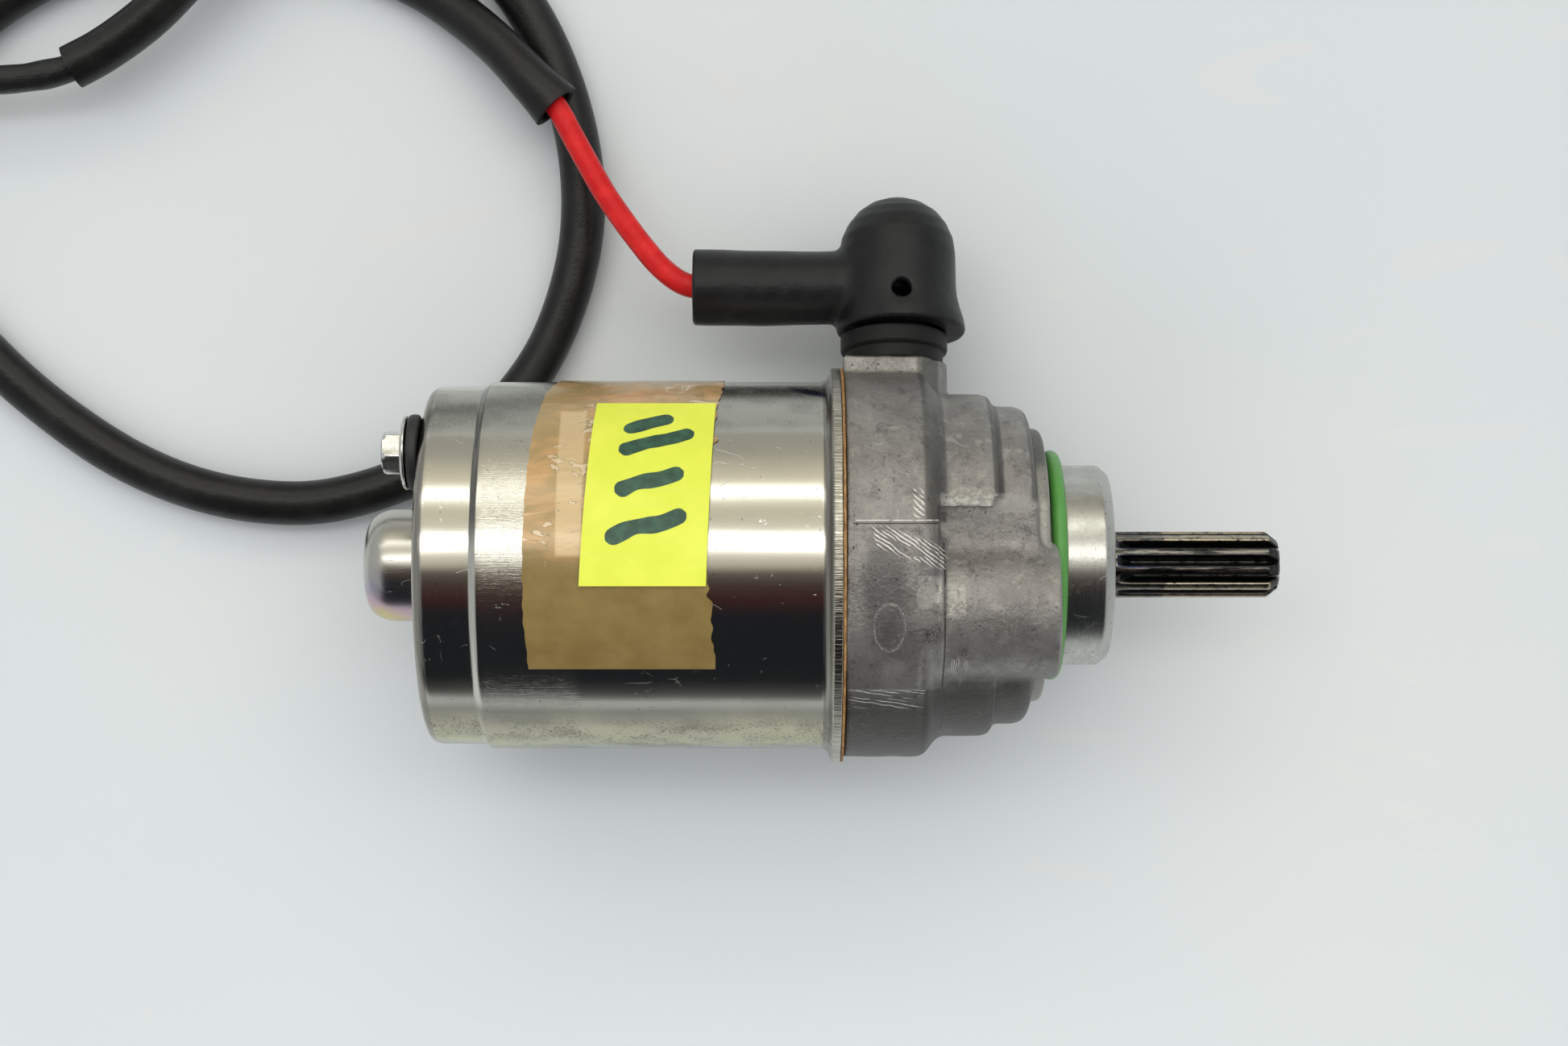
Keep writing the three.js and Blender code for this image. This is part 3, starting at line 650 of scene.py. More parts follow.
def casting_look():
    look = Look("cast_aluminium", (0.35, 0.335, 0.32), 0.85, 0.34)
    tumble = look.noise(0.9, 6, 0.68)
    cloud = look.noise(0.13, 4, 0.6)
    patch = look.noise((0.34, 0.26, 0.34), 5, 0.75, 0.5)
    grain = look.noise(4, 3, 0.7)
    pit = look.specks(0.42, 0.085, 0.03)
    small_pit = look.specks(1.3, 0.12, 0.04)
    tiny_pit = look.specks(2.9, 0.16, 0.06)
    color = look.mix(look.step(cloud, 0.32, 0.7), (0.245, 0.232, 0.222), (0.35, 0.336, 0.318))
    pointed = look.pointed() + (tumble - 0.5) * 0.05
    edge_wear = look.step(pointed, 0.525, 0.575)
    # Painted shade: corner darkens the concave corners, where pointiness is low.
    corner_shade = look.step(pointed, 0.49, 0.43)
    split = look.band(look.x, -77.2, -62.4, 0.4) * look.facing_up()
    shade = look.spot(-71.9, -3.4, 3.6, 9.4, 0, 0.4) * look.step(patch, 0.25, 0.5) * 0.6
    # Painted shade: underside darkens the side of the casting towards -Y.
    underside_shade = look.step(look.angle(), -29, -48)
    # Painted light: foot is a lighter, less metallic patch at the foot of the second ring's wall,
    # over its dark reflection.
    foot_light = look.panel(-62.3, -46.5, 9.5, 12.6, 0.3) * 0.8
    worn = casting_wear(look, patch, tumble) * look.step(grain, 0.34, 0.56, (0.5, 1))
    marks = casting_marks(look, split, patch, tumble, grain)
    # The first mask from casting_hollows is painted shade in the grooves between the rings.
    recess_shade, seam = casting_hollows(look, split)
    dirt = look.step(look.noise(0.55, 5, 0.85), 0.57, 0.68) * 0.6
    low_pits = look.spot(-63.6, -11.3, 2.2, 1.6, 20, 0.4) * look.step(grain, 0.5, 0.56)
    pits = look.most(pit, small_pit * 0.8, tiny_pit * 0.45, low_pits)
    normal = look.bump(tumble, 0.2)
    normal = look.bump(grain, 0.045, 1, normal)
    normal = look.bump(pits + marks * 0.4, -0.14, 1, normal)
    color = look.over(color, (look.step(patch, 0.54, 0.68) * 0.6, (0.44, 0.42, 0.385)),
                      (look.step(patch, 0.48, 0.28) * 0.75, (0.12, 0.11, 0.106)),
                      (look.step(grain, 0.5, 0.72) * 0.35, (0.5, 0.48, 0.45)),
                      (edge_wear * 0.4, (0.52, 0.5, 0.46)), (corner_shade * 0.6, (0.075, 0.07, 0.064)),
                      (shade, (0.105, 0.095, 0.1)), (recess_shade * 0.66, (0.075, 0.073, 0.064)),
                      (seam * 0.8, (0.04, 0.037, 0.035)),
                      (underside_shade * 0.84, (0.055, 0.054, 0.048)), (foot_light, (0.25, 0.24, 0.22)),
                      (worn * 0.88, (0.55, 0.53, 0.475)), (marks * 0.85, (0.8, 0.77, 0.7)),
                      (dirt, (0.095, 0.088, 0.085)), (pits * 0.85, (0.03, 0.027, 0.025)))
    return look.finish(color=color, normal=normal, metallic=0.85 - look.most(marks, foot_light) * 0.65,
                       roughness=0.34 + cloud * 0.14 - worn * 0.05 + dirt * 0.15 + corner_shade * 0.2)


def pilot_look():
    look = Look("pilot_machined", (0.62, 0.62, 0.59), 1, 0.2)
    lines = look.noise((6, 0.06), 2, 0.6)
    cloud = look.noise((0.2, 0.25, 0.25), 4)
    grain = look.noise((1.4, 1.6), 4, 0.75)
    radius = look.radius()
    spots = look.specks(0.75, 0.15, 0.06)
    front = look.step(look.x, -37, -32.5)
    scratch = look.hairlines((0.16, 0.2), 0.003, 0.5)
    bevel = look.step(look.x, -32.7, -32.3)
    color = look.mix(look.step(cloud, 0.35, 0.7), (0.58, 0.58, 0.55), (0.46, 0.46, 0.43))
    low_dirt = look.step(look.angle(), -48, -62) * look.step(grain, 0.54, 0.6)
    color = look.over(color, (look.step(grain, 0.52, 0.68) * 0.5, (0.3, 0.295, 0.28)),
                      (bevel * 0.8, (0.52, 0.515, 0.49)), (low_dirt * 0.6, (0.12, 0.11, 0.1)),
                      (spots * front * 0.8, (0.04, 0.035, 0.03)),
                      (look.step(radius, 15.5, 13), (0.35, 0.34, 0.32)))
    return look.finish(color=color, roughness=0.17 + lines * 0.12 + cloud * 0.1 + bevel * 0.1,
                       normal=look.bump(scratch, -0.02, 0.7, look.bump(lines + grain, 0.012)))


def rubber_look(name, color, roughness=0.45, grain=0.04, dust=0.2, shine=0.5):
    look = Look(name, color, 0, roughness)
    look.set(specular=shine)
    fine = look.noise(2.5, 4, 0.6)
    cloud = look.noise(0.2, 4, 0.6)
    speck = look.specks(0.7, 0.06, 0.02)
    light = tuple(min(1, c * 1.4 + 0.012) for c in color)
    base = look.mix(look.step(cloud, 0.4, 0.75) * dust, color, light)
    return look.finish(color=look.mix(speck * 0.3, base, (0.18, 0.17, 0.16)),
                       roughness=roughness - 0.08 + cloud * 0.16,
                       normal=look.bump(fine, grain, 1, look.bump(cloud, grain * 4)))


def wire_look():
    look = Look("red_insulation", (0.72, 0.02, 0.025), 0, 0.3)
    cloud = look.noise(0.3, 4)
    fine = look.noise(3, 3)
    speck = look.specks(0.6, 0.06, 0.02)
    color = look.mix(look.step(cloud, 0.4, 0.7), (0.5, 0.01, 0.012), (0.6, 0.018, 0.017))
    return look.finish(color=look.mix(speck * 0.6, color, (0.12, 0.01, 0.01)),
                       roughness=0.3 + cloud * 0.12, specular=0.18,
                       normal=look.bump(fine, 0.03, 1, look.bump(cloud, 0.2)))


def tape_look():
    look = Look("brown_tape", (0.3, 0.19, 0.055), 0, 0.3)
    angle = look.angle()
    upper = look.step(angle, -2, 10)
    blotch = look.noise((0.09, 0.16), 3, 0.6, 0.8)
    cloud = look.noise((0.2, 0.2), 4)
    crease = look.step(look.noise((0.16, 0.3), 2, 0.5, 1.6), 0.62, 0.645)
    fine = look.noise((0.03, 2), 3)
    strip = look.band(look.x, -127.4, -123, 0.25) * look.band(angle, 3.5, 54, 0.8)
    speck = look.specks((0.4, 0.4), 0.05, 0.02, 0.8)
    low_color = look.mix(look.step(cloud, 0.3, 0.7), (0.168, 0.11, 0.028), (0.205, 0.14, 0.042))
    high_color = look.mix(look.step(blotch, 0.42, 0.66), (0.33, 0.235, 0.1), (0.5, 0.3, 0.13))
    color = look.mix(upper, low_color, high_color)
    relief = blotch * upper + crease * upper * 0.8
    color = look.over(color, (strip * 0.8, (0.58, 0.43, 0.235)),
                      (crease * upper * 0.5, (0.75, 0.62, 0.45)),
                      (speck * 0.8, (0.05, 0.03, 0.02)))
    return look.finish(color=color, metallic=upper * 0.12,
                       roughness=0.36 - upper * 0.14 + cloud * 0.1, coat=upper * 0.4,
                       coat_roughness=0.12, normal=look.bump(fine, 0.02, 1,
            look.bump(relief, 0.35, 0.8)))


def paper_look():
    look = Look("yellow_paper", (0.84, 0.91, 0.06), 0, 0.6)
    cloud = look.noise(0.12, 3)
    fibre = look.noise((3, 5, 3), 4, 0.7)
    crease = look.step(look.noise((0.05, 1.2, 1.2), 1), 0.66, 0.7)
    color = look.mix(look.step(cloud, 0.3, 0.7), (0.64, 0.69, 0.055), (0.69, 0.735, 0.073))
    return look.finish(color=look.mix(crease * 0.25, color, (0.62, 0.66, 0.1)), roughness=0.55,
                       normal=look.bump(fibre, 0.02, 1, look.bump(cloud, 0.5)))


def ink_look():
    look = Look("marker_ink", (0.018, 0.06, 0.035), 0, 0.4)
    pooled = look.noise(0.6, 4)
    streak = look.noise((0.4, 3.5, 0.4), 2)
    color = look.mix(look.step(pooled, 0.3, 0.75), (0.016, 0.05, 0.03), (0.035, 0.1, 0.06))
    return look.finish(color=color, roughness=0.3 + streak * 0.25, normal=look.bump(streak, 0.01))


def gasket_look():
    look = Look("gasket_fibre", (0.4, 0.18, 0.05), 0, 0.7)
    fibre = look.noise((2, 0.6), 4, 0.7)
    oil = look.noise((0.1, 0.08), 3)
    color = look.mix(look.step(fibre, 0.35, 0.7), (0.17, 0.08, 0.022), (0.42, 0.23, 0.08))
    return look.finish(color=look.mix(look.step(oil, 0.5, 0.7) * 0.6, color, (0.07, 0.04, 0.02)),
                       roughness=0.7, normal=look.bump(fibre, 0.12))


def shaft_look():
    look = Look("shaft_steel", (0.2, 0.2, 0.22), 1, 0.25)
    radius = look.radius()
    streak = look.noise((0.12, 1.2, 1.2), 4, 0.65)
    spots = look.noise((0.5, 0.9, 0.9), 4, 0.7)
    # worn: wear on the teeth where the pinion engages, kept off the teeth that face up, so it is
    # partly a painted reflection on the teeth turned to the sides.
    turned_away = look.step(look.math("ABSOLUTE", look.angle() - 8), 22, 38)
    used = look.step(look.x, -20.9, -20.3, (0.28, 1)) * look.step(spots, 0.32, 0.48)
    worn = look.step(radius, 5.6, 5.9) * used * turned_away
    crest = look.step(radius, 5.985, 6) * look.step(streak, 0.44, 0.52)
    # Painted highlight: valley is a light line along the bottom of each gap between teeth.
    valley_highlight = look.step(radius, 4.26, 4.18) * look.step(spots, 0.36, 0.52)
    polished = look.step(look.x, -30, -31)
    blue = look.step(look.x, -21, -24) * look.step(streak, 0.45, 0.62) * 0.7
    along = look.step(look.x, -1.6, -2.2)
    # Painted shade: root darkens the tooth flanks and gaps.
    root_shade = look.step(radius, 5.8, 5.3) * along
    color = look.mix(look.step(spots, 0.3, 0.7), (0.022, 0.022, 0.024), (0.06, 0.058, 0.054))
    color = look.over(color, (blue, (0.02, 0.03, 0.085)), (root_shade * 0.8, (0.01, 0.012, 0.011)),
                      (crest * 0.85, (0.27, 0.26, 0.235)), (worn * 0.85, (0.52, 0.45, 0.34)),
                      (valley_highlight * along * 0.85, (0.4, 0.42, 0.39)),
                      (look.step(look.x, -0.5, -0.2), (0.16, 0.155, 0.15)),
                      (polished, (0.5, 0.5, 0.5)))
    return look.finish(color=color, normal=look.bump(streak + spots, 0.04),
                       roughness=0.17 + spots * 0.2 + root_shade * 0.2)


def bolt_look():
    look = Look("plated_steel", (0.78, 0.78, 0.76), 1, 0.2)
    cloud = look.noise(0.6, 4, 0.6)
    fine = look.noise(4, 2)
    worn = look.step(look.noise(1, 4, 0.7), 0.62, 0.7)
    color = look.mix(look.step(cloud, 0.35, 0.7), (0.72, 0.72, 0.69), (0.6, 0.59, 0.54))
    return look.finish(color=look.mix(worn * 0.6, color, (0.18, 0.17, 0.16)),
                       roughness=0.14 + cloud * 0.16 + worn * 0.15,
                       normal=look.bump(fine, 0.008, 1, look.bump(cloud, 0.03)))


def mineral_look(name, color, roughness, metallic=0, grain=0.08, other=None):
    """A matt inner part: fine grain, soft clouding and dark specks."""
    look = Look(name, color, metallic, roughness)
    cloud = look.noise(0.3, 4)
    fine = look.noise(3, 3)
    specks = look.specks(1.1, 0.14, 0.05)
    second = other or tuple(c * 0.6 for c in color)
    base = look.mix(look.step(cloud, 0.35, 0.7), color, second)
    return look.finish(color=look.mix(specks * 0.4, base, tuple(c * 0.3 for c in color)),
                       roughness=roughness - 0.08 + cloud * 0.16, normal=look.bump(fine, grain))


def layered_look(name, color, gap, spacing, along_x=True, metallic=1, roughness=0.4):
    """Stacked sheets or wound wire: dark lines at an even spacing."""
    look = Look(name, color, metallic, roughness)
    axis = look.x if along_x else look.radius()
    wander = look.noise(0.3, 2)
    wave = look.math("SINE", axis * (TAU / spacing) + wander * 2)
    lines = look.step(wave, -0.2, -0.9)
    cloud = look.noise(0.25, 4)
    base = look.mix(look.step(cloud, 0.3, 0.7), color, tuple(c * 0.7 for c in color))
    return look.finish(color=look.mix(lines, base, gap), roughness=roughness + lines * 0.2,
                       normal=look.bump(wave, 0.08))


def floor_look():
    look = Look("white_table", (0.56, 0.585, 0.6), 0, 0.5)
    cloud = look.noise(0.006, 3)
    fine = look.noise(0.6, 3)
    hair = look.step(look.noise((0.012, 0.03, 1), 1, 0.5, 3), 0.7, 0.704)
    speck = look.specks(0.03, 0.022, 0.012)
    color = look.mix(look.step(cloud, 0.3, 0.7), (0.55, 0.578, 0.595), (0.57, 0.592, 0.6))
    color = look.over(color, (hair * 0.1, (0.75, 0.62, 0.55)), (speck * 0.3, (0.55, 0.5, 0.46)))
    return look.finish(color=color, roughness=0.42 + cloud * 0.1, specular=0.3,
                       normal=look.bump(fine, 0.01))


# ---- pieces ----
def piece(name, shape, material, slot, body="stator", crease=40, extra=()):
    """A mesh that rides on a body. extra is a list of (material, test of a face's centre in mm)."""
    vertices, faces = shape
    mesh = bpy.data.meshes.new(name)
    mesh.from_pydata((np.asarray(vertices) * MM).tolist(), [], faces)
    bm = bmesh.new()
    bm.from_mesh(mesh)
    bmesh.ops.recalc_face_normals(bm, faces=bm.faces)
    bm.to_mesh(mesh)
    bm.free()
    mesh.shade_smooth()
    mesh.set_sharp_from_angle(angle=math.radians(crease))
    mesh.materials.append(material)
    for number, (other, test) in enumerate(extra, 1):
        mesh.materials.append(other)
        for face in mesh.polygons:
            if test(face.center / MM):
                face.material_index = number
    obj = bpy.data.objects.new(name, mesh)
    scene.collection.objects.link(obj)
    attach(obj, body)
    return obj


def stand_in(node, shape, material, slot, **options):
    """A piece in the place of a node of the CAD."""
    obj = piece(f"{node}_visual", shape, material, slot, **options)
    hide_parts(node)
    return obj


def paint(material, *nodes):
    for name in nodes:
        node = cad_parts[name]
        node.data.materials.clear()
        node.data.materials.append(material)


# ---- cords ----
T = TABLE_Z + SLEEVE_R + 0.05
OVER = T + 2 * SLEEVE_R + 0.3
WIRE_PATH = [
    (-82, 51.2, -10.9), (-92, 51.2, -10.9), (-100, 51.2, -10.9), (-105.6, 51.3, -11),
    (-108.2, 52.3, -11.6), (-111.7, 55.1, -12.8), (-115.4, 59.5, -14.5), (-119.1, 64.5, -16.4),
    (-122.4, 69.4, -18.1), (-126, 75.7, -20.1), (-129, 81.2, -21.6), (-131.9, 86.4, -22.6),
    (-134.9, 89.6, -22.9),
]
SLEEVE_PATH = [
    (-131.9, 86.4, OVER), (-136.5, 91.2, -23.2), (-143.6, 98.8, -26), (-152.8, 106.6, -29.8),
    (-160, 111.2, T), (-175, 117.6, T), (-195, 120.5, T), (-215, 118.6, T), (-230, 113, T),
    (-241.9, 105.8, T), (-251.5, 96, T), (-257.3, 82, T), (-257.6, 66, T), (-252, 52, T),
    (-239.7, 38, T), (-227.3, 27.6, T), (-214.9, 19.6, T), (-202.5, 14.4, T), (-190.1, 11.8, T),
    (-177.7, 11.7, T), (-164, 15.3, T), (-152, 21.3, T), (-142, 30.1, T), (-134.2, 41.5, T),
    (-129.1, 55.5, T), (-127.4, 69, T), (-129.1, 83.9, T), (-134, 98.4, T), (-141, 110.4, T),
    (-150.5, 120.2, T), (-163, 127.2, -29.5), (-177.5, 128.2, -25.2), (-190.5, 121.6, OVER + 0.2),
    (-200, 112.4, -22.6), (-209, 103.6, -23.2), (-218, 97.2, -23.8), (-224, 94, -24),
]
TAIL_PATH = [
    (-217, 97.8, -23.7), (-224, 94, -24), (-231, 92.3, -24.1), (-238, 91.6, -24.1),
    (-246, 91.4, -23.9), (-254.5, 91.6, -23.9), (-261.5, 91.2, -26.6), (-267, 90.4, -31),
    (-271, 89.9, -32.5), (-274.3, 89.6, -32.6),
]
END_LUG = (-278, 89.6, -32.6)


def ripple(along, size, period, seed):
    """Small smooth changes along a length, the same at each run."""
    return np.array([size * noise.noise(Vector((s / period, seed, 0.0))) for s in along])


def make_cords():
    path, along = smooth_path(WIRE_PATH, 0.8)
    wire = stand_in("red_wire", sweep(path, WIRE_R * (1 + ripple(along, 0.03, 9, 1.0)), 24),
                    wire_look(), "red_insulation")

    path, along = smooth_path(SLEEVE_PATH, 1.2)
    flare = 0.35 * np.exp(-along / 5.0)
    radius = SLEEVE_R * (1 + ripple(along, 0.022, 16, 2.0)) + flare
    flat = 1 + ripple(along, 0.05, 35, 5.0) - 0.10 * np.exp(-along / 7.0)
    sleeve = stand_in("cable_sleeve",
                      sweep(path, radius, 32, bores=(9, 8), bore_r=3.25, squash=flat),
                      rubber_look("black_sleeve", (0.006, 0.0058, 0.0055), 0.36, 0.05, 0.3, 0.35),
                      "black_sleeve")

    path, along = smooth_path(TAIL_PATH, 0.8)
    lumps = 0.22 * np.exp(-((along - 30) / 2.2) ** 2) + 0.12 * np.exp(-((along - 13) / 3.0) ** 2)
    film = rubber_look("tail_film", (0.007, 0.007, 0.007), 0.2, 0.16, 0.2, 0.4)
    tail = stand_in("cable_tail", sweep(path, TAIL_R + ripple(along, 0.22, 6, 3.0) + lumps, 24),
                    film, "black_sleeve")
    lug = end_lug()


def end_lug():
    """Crimped ring terminal: barrel, flattened neck and eye."""
    low, cell = (-26.5, -8.0, -4.5), 0.3
    x, y, z = grid(low, (5.5, 8.0, 4.5), cell)
    across = np.sqrt(y * y + z * z)
    barrel = turned_field([(-8, 0), (-8, 2.7, 0.3), (3.4, 2.7, 0.3), (3.4, 0)], x, across)
    crimp = box_field((x, y, z), (-5.4, -1.2, 1.9), (-0.6, 1.2, 6.0), 0.4)
    barrel = cut(cut(barrel, crimp, 0.5), across - 1.75, 0.2)
    neck = box_field((x, y, z), (-15.5, -2.6, -0.8), (-6.5, 2.6, 0.6), 0.3)
    away = np.sqrt((x + 18) ** 2 + y * y)
    eye = np.maximum(away - 6.0, np.abs(z + 0.1) - 0.7)
    field = cut(union(union(barrel, neck, 0.8), eye, 0.8), away - 3.2, 0.2)
    vertices, faces = surface(field, low, cell)
    tinned = mineral_look("tinned_copper", (0.62, 0.6, 0.57), 0.3, 1.0, 0.05, (0.55, 0.42, 0.3))
    return stand_in("cable_end_lug", (vertices + np.array(END_LUG), faces), tinned,
                    "tinned_copper", crease=60)


make_cords()


# ---- case ----
def yoke_case():
    """Outside and inside of the drawn case, from the flange back over the rear wall to the bump."""
    outside = [
        (-78.8, 30.3), (-78.8, 35.5, 0.25), (-80.4, 35.5, 0.35), (-80.75, 34.2, 0.5),
        (-81.2, 33.35, 0.5), (-82.2, 33.0, 0.6), (-141.1, 33.0, 0.5), (-142, 32.2, 0.35),
        (-150.2, 32.2, 0.6), (-151.5, 31.7, 0.6), (-152, 30.6, 0.6), (-152, 11.6, 0.8),
        (-152.5, 10.4, 0.5), (-153.8, 10.2, 0.6), (-160.1, 10.1, 2.4), (-162.9, 8.8, 1.6),
        (-163.9, 6.5, 1.2), (-164.1, 3.5, 1.0), (-164.1, 0),
    ]
    inside = [
        (-162.5, 0), (-162.5, 7.9, 0.8), (-149.7, 7.9, 0.3), (-149.7, 29.5, 1.0),
        (-140.5, 29.5, 0.5), (-139.5, 30.3, 0.5), (-78.8, 30.3),
    ]
    outer = turned(outside, 200)
    inner = turned(inside, 96)
    is_rim = lambda c: c.x > -80.5 and math.hypot(c.y, c.z) > 34.6
    stand_in("yoke_case", outer, case_look(), "case_steel", crease=50,
             extra=[(rim_look(), is_rim)])
    piece("yoke_case_inside", inner, steel("case_inside", (0.55, 0.54, 0.5), 0.35), "case_steel")


def gasket():
    sides = 240
    angle = np.arange(sides) * TAU / sides
    uneven = [noise.noise(Vector((6 * math.cos(a), 6 * math.sin(a), 2))) for a in angle]
    edge = RIM_R - 0.12 + 0.22 * np.array(uneven)
    stand_in("case_gasket",
             lofted([(-78.72, 30.4), (-78.72, edge), (-78.28, edge), (-78.28, 30.4)], True),
             gasket_look(), "gasket_fibre")


# ---- nose ----
def pad_field(x, y, z):
    """The squared pad under the terminal, with one corner cut off."""
    lean = math.radians(STUD_LEAN)
    up = y * math.cos(lean) - z * math.sin(lean)
    across = y * math.sin(lean) + z * math.cos(lean)
    rounding, half = 0.5, 9.5
    inner = half - rounding
    outline = [(-inner, -9.3), (inner, -9.3), (inner, 4.4), (4.6, 9.3), (-inner, 9.3)]
    side = polygon_distance(outline, x + 68.7, across)
    end = np.abs(up - 30.3) - 6.3 + rounding
    outside = np.sqrt(np.maximum(side, 0) ** 2 + np.maximum(end, 0) ** 2)
    return outside + np.minimum(np.maximum(side, end), 0) - rounding, up, across


def boss_fields(x, y, z):
    """The two bosses with their M6 holes: (solid, hole)."""
    solids, holes = [], []
    for way in (1, -1):
        back = np.hypot(way * y + 6.7, way * z - 20.2)
        front = np.hypot(way * y + 7.5, way * z - 20.3)
        hole = np.hypot(way * y + 8.7, way * z - 23.7)
        solids.append(union(
            turned_field([(-78.2, 0), (-78.2, 14.0), (-62.0, 13.25, 0.4), (-61.6, 12.8, 0.3),
                          (-61.6, 0)], x, back),
            turned_field([(-64, 0), (-64, 12.25), (-41.9, 11.65, 0.5), (-41.6, 11.0), (-41.6, 0)],
                         x, front), 0.35))
        holes.append(turned_field([(-59, 0), (-57.5, 2.6), (-42.1, 2.6), (-40.6, 4.1), (-40.6, 0)],
                                  x, hole))
    return np.minimum(*solids), np.minimum(*holes)


def flat_field(x, y, z):
    """What is milled off beside a boss, level over the second and third rings."""
    second = box_field((x, y, z), (-62.6, -30, 25.9), (-51.6, 10.4, 50), 0.4)
    third = box_field((x, y, z), (-53, -30, 25.9), (-38, 12.1, 50), 0.4)
    return union(second, third, 0.6)


def front_casting():
    low, cell = (-78.9, -37.0, -37.0), 0.42
    x, y, z = grid(low, (-40.0, 40.0, 37.0), cell)
    radius = np.hypot(y, z)
    rings = turned_field([
        (-78.2, 0), (-78.2, 34.5, 0.3), (-65.2, 34.5, 0.9), (-63.8, 34.1, 0.7), (-61.7, 31.4, 0.9),
        (-60.4, 30.8, 0.8), (-53.5, 30.8, 1.1), (-52.2, 30.3, 0.9), (-51.8, 29.3, 0.4),
        (-51.1, 28.6, 0.7), (-47.5, 28.6, 1.2), (-46, 28, 0.9), (-45.3, 26.6, 0.6),
        (-45.2, 24.7, 0.3), (-43.4, 24.5, 0.4), (-42.8, 23.9, 0.4), (-42.8, 0)], x, radius)
    flats = np.minimum(*[flat_field(x, way * y, way * z) for way in (1, -1)])
    webs = np.minimum(*[box_field((x, way * y, way * z), (-63, -9, 12), (-45.2, 11.0, 26.1), 0.5)
                        for way in (1, -1)])
    bosses, holes = boss_fields(x, y, z)
    raised = np.minimum(*[np.maximum(
        turned_field([(-78.2, 0), (-78.2, 34.85), (-65.6, 34.85, 0.5), (-65.4, 0)], x, radius),
        np.maximum(np.abs(way * y + 7.2) - 13.8, 6 - way * z)) for way in (1, -1)])
    pad, up, across = pad_field(x, y, z)
    body = cut(rings, flats, 0.2)
    body = union(body, raised, 0.25)
    body = union(body, union(webs, bosses, 2.6), 0.8)
    body = union(body, pad, 1.1)
    unevenness = np.sin(x * 0.9 + 1.3 * np.sin(y * 0.31)) * np.sin(z * 0.4 + 0.5 * np.sin(y * 0.5))
    body = body + 0.035 * unevenness
    stud = np.hypot(x - STUD_X, across)
    stud_hole = np.maximum(stud - np.where(up > 34.8, 7.2, 5.2), 26 - up)
    cavity = turned_field([
        (-82, 0), (-82, 29.5), (-65.5, 29.5, 1), (-63.6, 27, 1), (-62, 20, 1), (-59.5, 16.3),
        (-46.1, 16.3), (-46.1, 9.5), (-43.6, 9.5), (-43.6, 17.7), (-38, 17.7), (-38, 0)],
        x, radius)
    for turn in (BOLT_ANGLE, -BOLT_ANGLE):
        a = math.radians(turn)
        column = np.hypot(y - BOLT_AT_R * math.cos(a), z - BOLT_AT_R * math.sin(a))
        cavity = np.maximum(cavity, 4.8 - column)
    seat = np.maximum(radius - 21.4, -43.3 - x)
    for hollow, blend in ((cavity, 0.3), (holes, 0.25), (stud_hole, 0.25), (seat, 0.3)):
        body = cut(body, hollow, blend)
    return surface(body, low, cell)


def nose():
    casting = piece("front_housing_casting", front_casting(), casting_look(), "cast_aluminium",
                    crease=70)
    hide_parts("front_housing")
    reduce = casting.modifiers.new("reduce", "DECIMATE")
    triangles = 2 * len(casting.data.polygons)
    reduce.ratio = min(1.0, CASTING_TRIANGLES / triangles)
    piece("front_housing_pilot", turned([
        (-43.5, 9.6), (-43.5, 17.5), (-39.5, 17.5, 0.1), (-39.35, 18.0, 0.1), (-32.5, 18.0, 0.5),
        (-30.8, 16.5, 0.4), (-30.8, 12.9, 0.3), (-31.4, 12.3, 0.3), (-38.0, 12.3), (-38.0, 9.6)],
        180, True), pilot_look(), "cast_aluminium")
    section = [(-40.85 + 1.4 * math.cos(a), 19.3 + 1.4 * math.sin(a))
               for a in np.arange(24) * TAU / 24]
    stand_in("pilot_o_ring", turned(section, 160, True),
             rubber_look("green_rubber", (0.075, 0.255, 0.048), 0.38, 0.03, 0.3), "green_rubber")
    stand_in("oil_seal", turned([
        (-37.6, 6.35), (-37.6, 12.15, 0.4), (-32.2, 12.15, 0.5), (-32.2, 10.8, 0.5),
        (-33.3, 10.2, 0.6), (-33.7, 7.8, 0.6), (-32.7, 7.2, 0.4), (-33.6, 6.15, 0.2),
        (-35.0, 6.35, 0.3)], 96, True),
        rubber_look("black_rubber", (0.02, 0.02, 0.022), 0.4), "black_rubber")


# ---- shaft ----
def tooth_radius(angle):
    """Radius of the toothed end at an angle from +Y: rounded tips and roots."""
    pitch = TAU / TOOTH_COUNT
    share = np.abs(((angle / pitch + 0.5) % 1) - 0.5)
    fall = np.clip((share - 0.21) / 0.17, 0, 1)
    fall = fall * fall * (3 - 2 * fall)
    return 6.02 - 1.45 * fall - 0.45 * np.clip(share / 0.5, 0, 1) ** 2


def shaft():
    sides = TOOTH_COUNT * 24
    angle = np.arange(sides) * TAU / sides
    tooth = tooth_radius(angle)
    stations = [(-162.2, 0), (-162.2, 3.2), (-161.4, 3.95), (-148.0, 3.95), (-148.0, 6),
                (-29.3, 6)]
    for x in (-28.9, -28.4, -27.6, -26.6):
        share = (x + 29.3) / 2.7
        stations.append((x, tooth * share + 6 * (1 - share)))
    stations += [(x, tooth) for x in np.linspace(-25, -2.4, 12)]
    for x in np.linspace(-2.1, -0.25, 8):
        stations.append((x, np.minimum(tooth, 6.1 - 1.5 * (x + 2.1) / 1.85)))
    stations += [(0, np.minimum(tooth, 4.5)), (0, 1.4), (-1.0, 0.3), (-1.0, 0)]
    stand_in("armature_shaft", lofted(stations), shaft_look(), "shaft_steel", body="rotor",
             crease=55)


# ---- through bolts ----
def hex_radius(flats, sides, turn=0.0):
    angle = np.arange(sides) * TAU / sides + math.radians(turn)
    return flats / 2 / np.cos((angle + TAU / 12) % (TAU / 6) - TAU / 12)


